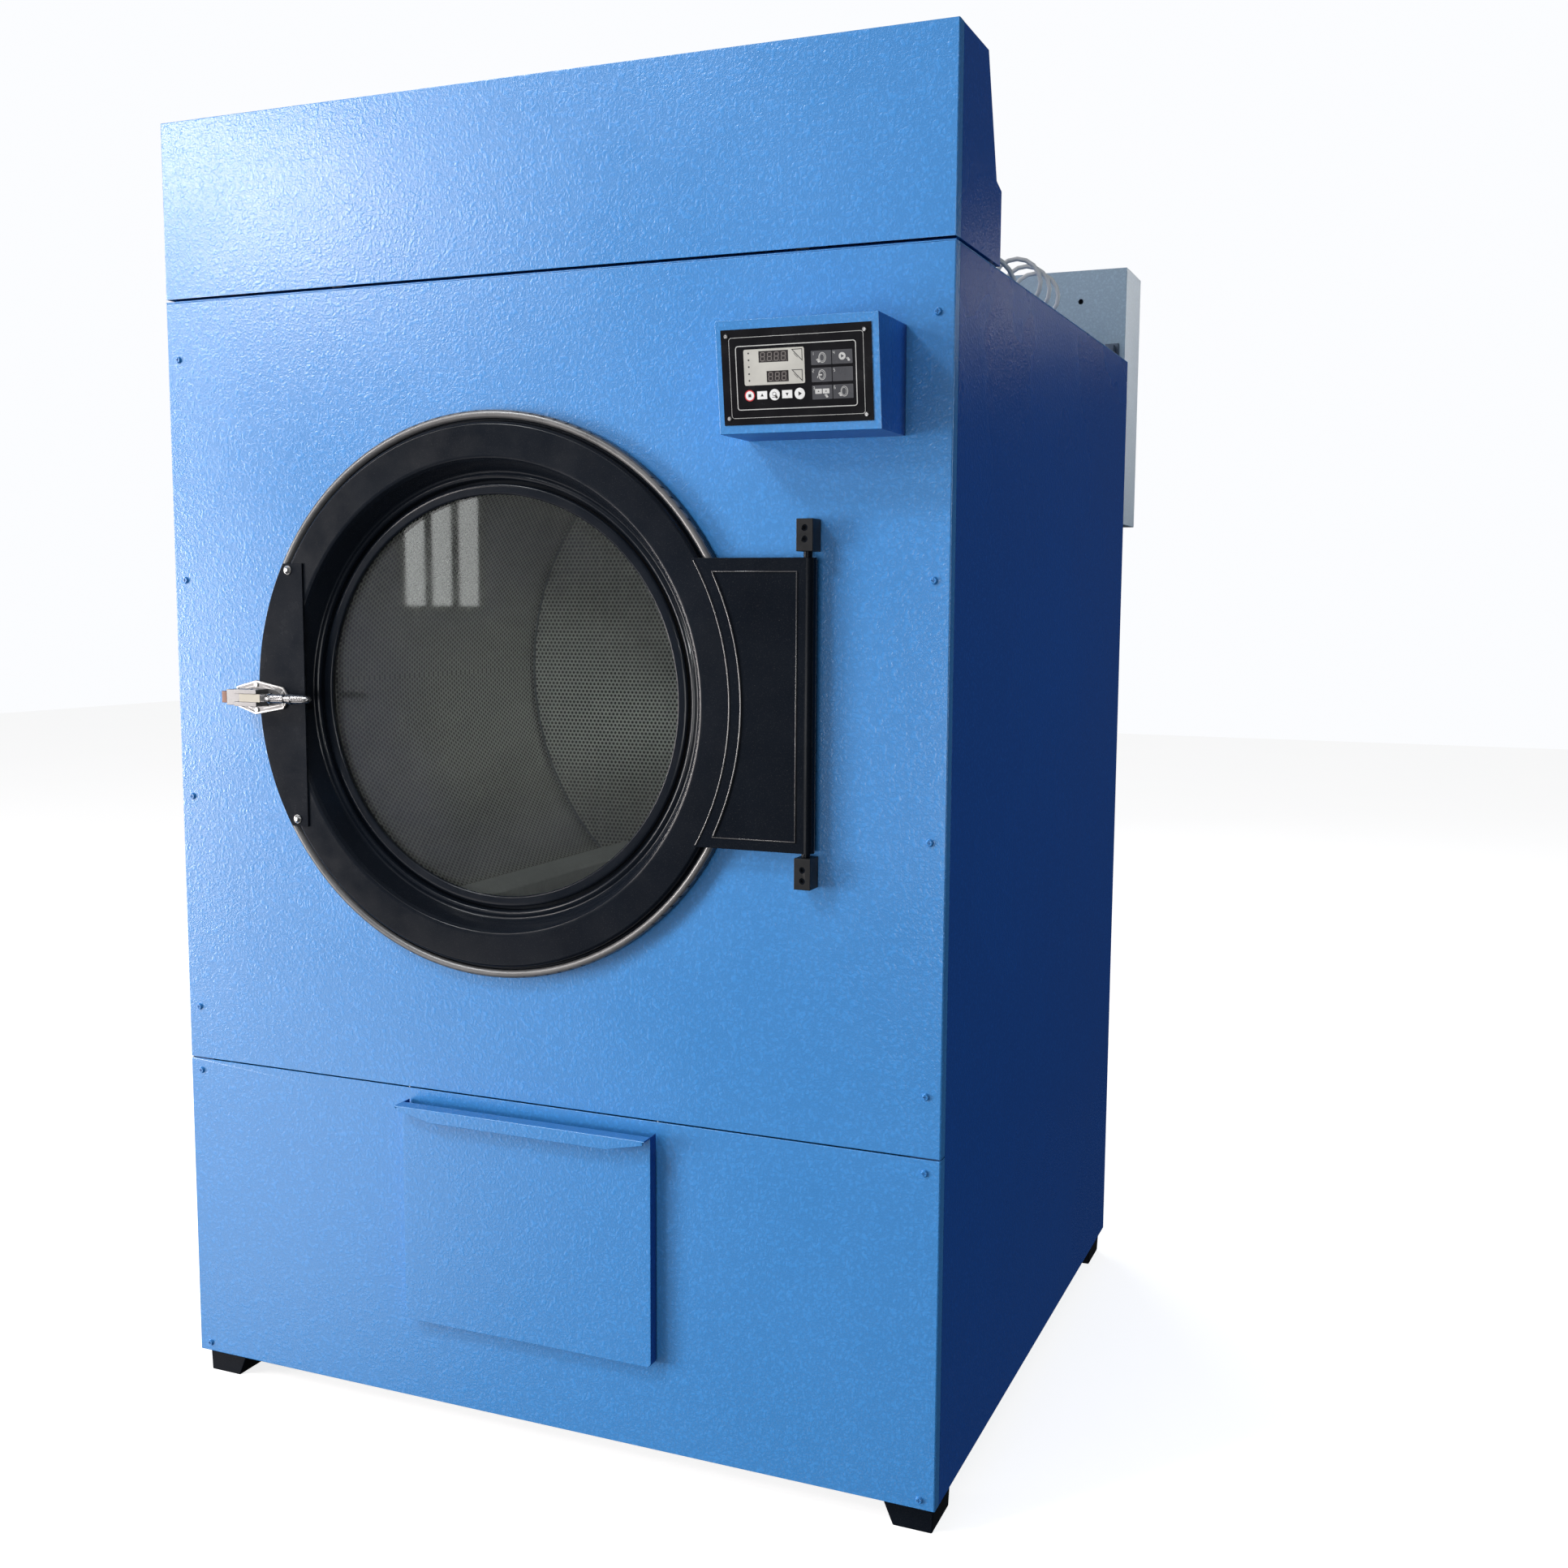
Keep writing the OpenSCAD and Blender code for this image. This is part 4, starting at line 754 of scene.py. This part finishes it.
def block(bm, x0, x1, d0, d1, z0, z1, width):
    """A block with rounded edges, sizes in millimetres and depth behind the front panel."""
    low = Vector((x0 * MM, FRONT + d0 * MM, z0 * MM))
    high = Vector((x1 * MM, FRONT + d1 * MM, z1 * MM))
    made = bmesh.ops.create_cube(bm, size=1.0)["verts"]
    for v in made:
        v.co = Vector([(low[i] + high[i]) / 2 + v.co[i] * (high[i] - low[i]) for i in range(3)])
    edges = {e for v in made for e in v.link_edges}
    bmesh.ops.bevel(bm, geom=list(edges), offset=width * MM, segments=2, profile=0.5, affect="EDGES")


def latch_handle():
    """Turned grip, the flat lever behind it and the pivot's cap, as one cast piece."""
    x = LATCH_X
    middle = Vector((0, FRONT + (LATCH_D - 3) * MM, LATCH_Z * MM))
    bm = turned([(x + out, radius, flute) for out, radius, flute in HANDLE], middle, 72)
    block(bm, x + 1, x + 31, LATCH_D - 8, LATCH_D + 3, LATCH_Z - 5.5, LATCH_Z + 5.5, 1.0)
    block(bm, x + 24, x + 33, LATCH_D - 7, LATCH_D + 1, LATCH_Z - 5.0, LATCH_Z + 5.0, 1.2)
    place = Matrix.Translation((x * MM, FRONT + LATCH_D * MM, LATCH_Z * MM))
    for r, h in ((7.0, 6.0), (3.0, 14.0)):
        made = bmesh.ops.create_cone(bm, cap_ends=True, segments=40, radius1=r * MM, radius2=r * MM,
                                     depth=2 * h * MM, matrix=place)["verts"]
        caps = {e for v in made for e in v.link_edges if abs(e.verts[0].co.z - e.verts[1].co.z) < 1e-9}
        bmesh.ops.bevel(bm, geom=list(caps), offset=0.5 * MM, segments=2, profile=0.5, affect="EDGES")
    mesh = bpy.data.meshes.new("latch_handle_turned")
    bm.to_mesh(mesh)
    bm.free()
    mesh.shade_smooth()
    mesh.set_sharp_from_angle(angle=math.radians(40))
    handle = add_piece("latch_handle_turned", mesh, "latch_lever", LOOKS["chrome"])
    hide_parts("latch_handle")
    film = [([rounded(x - 17, LATCH_Z - 6, x + 22, LATCH_Z + 6, 1.0, 3)], 0.0, 0.9)]
    prisms("latch_lever_face", film, front_place(LATCH_D - 7.8), "latch_lever", IVORY)


def latch_trim():
    """The raised rim, ribs and rivets on the face of the latch body."""
    cx, cz = sum(p[0] for p in BASE) / len(BASE), sum(p[1] for p in BASE) / len(BASE)
    outer, inner = ([(cx + (px - cx) * k, cz + (pz - cz) * m) for px, pz in BASE]
                    for k, m in ((0.985, 0.97), (0.94, 0.885)))
    shapes = [([outer, inner], -0.2, 1.2)]
    shapes += [(stroke([start, end], width), -0.2, 0.7) for start, end, width in RIBS]
    for px, pz, r in RIVETS:
        for share, low, high in ((1.0, -0.2, 1.4), (0.8, 1.4, 1.9), (0.4, 1.9, 2.2)):
            shapes.append(([oval(px, pz, r * share)], low, high))
    prisms("latch_base_trim", shapes, front_place(BASE_D), "door", LATCH_RIM)


latch_handle()
latch_trim()


# ---------------------------------------------------------------- studio
def area_light(name, place, target, size, power, colour=(1, 1, 1)):
    light = bpy.data.lights.new(name, "AREA")
    light.shape = "RECTANGLE"
    light.size, light.size_y = size
    light.energy = power
    light.color = colour
    holder = bpy.data.objects.new(name, light)
    bpy.context.scene.collection.objects.link(holder)
    holder.location = place
    holder.rotation_euler = (Vector(target) - Vector(place)).to_track_quat("-Z", "Y").to_euler()
    holder.visible_camera = False
    return holder


WARM, COOL, SKY = (1.0, 0.935, 0.90), (0.97, 0.985, 1.0), (0.78, 0.90, 1.0)
# Name, place, the point it faces, its two sides in metres, watts, colour
LIGHTS = (
    ("upper_light", (-3.5, -3.9, 3.0), (-0.4, -0.6, 1.85), (1.3, 0.6), 66, WARM),
    ("strip_light", (-4.0, -3.9, 0.7), (-0.6, -0.6, 1.0), (0.4, 2.0), 21, WARM),
    ("left_light", (-8.6, -5.1, 0.7), (-0.2, -0.6, 0.8), (2.4, 3.6), 800, WARM),
    ("low_light", (-2.1, -2.6, -0.5), (-0.4, -0.6, 0.4), (1.4, 1.3), 10, WARM),
    ("key_light", (-2.2, -3.6, 4.6), (0.0, -0.6, 1.1), (0.9, 0.9), 98, COOL),
    ("ceiling_light", (-0.8, -3.4, 4.6), (0.0, -0.6, 0.6), (2.4, 1.4), 20, COOL),
    ("front_fill", (0.9, -5.2, 0.7), (0.2, -0.6, 0.7), (2.2, 1.2), 58, (1, 1, 1)))
for row in LIGHTS:
    area_light(*row)
# Three panes of a window, aimed to show in the door's glass
PANE_X, PANE_Y, PANE_Z, PANE_GAP = -3.29, -5.2, 1.53, 0.12
for pane in (-PANE_GAP, 0.0, PANE_GAP):
    place = (PANE_X + pane, PANE_Y - pane * 0.4, PANE_Z)
    area_light("pane_light", place, (-0.16, -0.58, 1.38), (0.09, 0.53), 0.30)
area_light("right_fill", (5.0, 0.6, 1.4), (0.64, 0.2, 1.0), (1.5, 2.5), 64, SKY)
area_light("rear_light", (1.63, 3.5, 2.45), (0.64, -0.2, 1.7), (0.35, 0.3), 0.8)
area_light("back_fill", (-2.6, 4.4, 3.0), (0.0, 0.6, 1.0), (2.0, 1.6), 60, (0.96, 0.98, 1.0))


def only_on(light, piece):
    """Light linking: the light reaches one piece alone."""
    chosen = bpy.data.collections.new(light.name + "_receivers")
    chosen.objects.link(bpy.data.objects[piece])
    light.light_linking.receiver_collection = chosen


rear_box_light = area_light("rear_box_light", (2.6, 3.4, 2.2), (0.62, 0.6, 1.6), (1.2, 1.2), 40)
only_on(rear_box_light, "heater_box_rounded")


def drum_light():
    """A narrow beam through the door's glass, so that the drum's wall shows."""
    light = bpy.data.lights.new("drum_light", "SPOT")
    light.energy, light.shadow_soft_size = 84, 0.08
    light.spot_size, light.spot_blend = math.radians(14), 0.4
    holder = bpy.data.objects.new("drum_light", light)
    bpy.context.scene.collection.objects.link(holder)
    holder.location = (1.35, -3.0, 1.75)
    aim = Vector((AXIS_X, FRONT, AXIS_Z)) - holder.location
    holder.rotation_euler = aim.to_track_quat("-Z", "Y").to_euler()


drum_light()


def studio_world():
    world = bpy.data.worlds.new("studio")
    world.use_nodes = True
    tree = world.node_tree
    tree.nodes.clear()
    place = tree.nodes.new("ShaderNodeTexCoord")
    facing = tree.nodes.new("ShaderNodeVectorMath")
    facing.operation = "DOT_PRODUCT"
    tree.links.new(place.outputs["Generated"], facing.inputs[0])
    facing.inputs[1].default_value = Vector((-0.78, -0.35, 0.52)).normalized()
    ramp = tree.nodes.new("ShaderNodeMapRange")
    for key, value in (("From Min", -0.6), ("From Max", 0.95), ("To Min", 0.02), ("To Max", 0.24)):
        ramp.inputs[key].default_value = value
    tree.links.new(facing.outputs["Value"], ramp.inputs["Value"])
    seen = tree.nodes.new("ShaderNodeLightPath")
    strength = tree.nodes.new("ShaderNodeMix")
    tree.links.new(seen.outputs["Is Camera Ray"], strength.inputs[0])
    tree.links.new(ramp.outputs[0], strength.inputs[2])
    strength.inputs[3].default_value = 1.0
    background = tree.nodes.new("ShaderNodeBackground")
    background.inputs["Color"].default_value = (0.97, 0.98, 1.0, 1)
    tree.links.new(strength.outputs[0], background.inputs["Strength"])
    output = tree.nodes.new("ShaderNodeOutputWorld")
    tree.links.new(background.outputs[0], output.inputs["Surface"])
    bpy.context.scene.world = world


studio_world()
bpy.context.scene.view_settings.view_transform = "Standard"


def floor():
    mesh = bpy.data.meshes.new("floor")
    side = 14.0
    corners = [(-side, -side, 0), (side, -side, 0), (side, side, 0), (-side, side, 0)]
    mesh.from_pydata(corners, [], [(0, 1, 2, 3)])
    piece = bpy.data.objects.new("floor", mesh)
    bpy.context.scene.collection.objects.link(piece)
    piece.visible_glossy = piece.visible_diffuse = piece.visible_shadow = False
    look = Look("pale_floor")
    cloud = look.noise(1.3, 3.0, 0.5)
    glow = {"Emission_Color": (1, 1, 1, 1), "Emission_Strength": 0.8}
    mesh.materials.append(look.finish(look.mix(cloud, (0.78, 0.79, 0.80), (0.84, 0.84, 0.85)), 0.75, **glow))


floor()
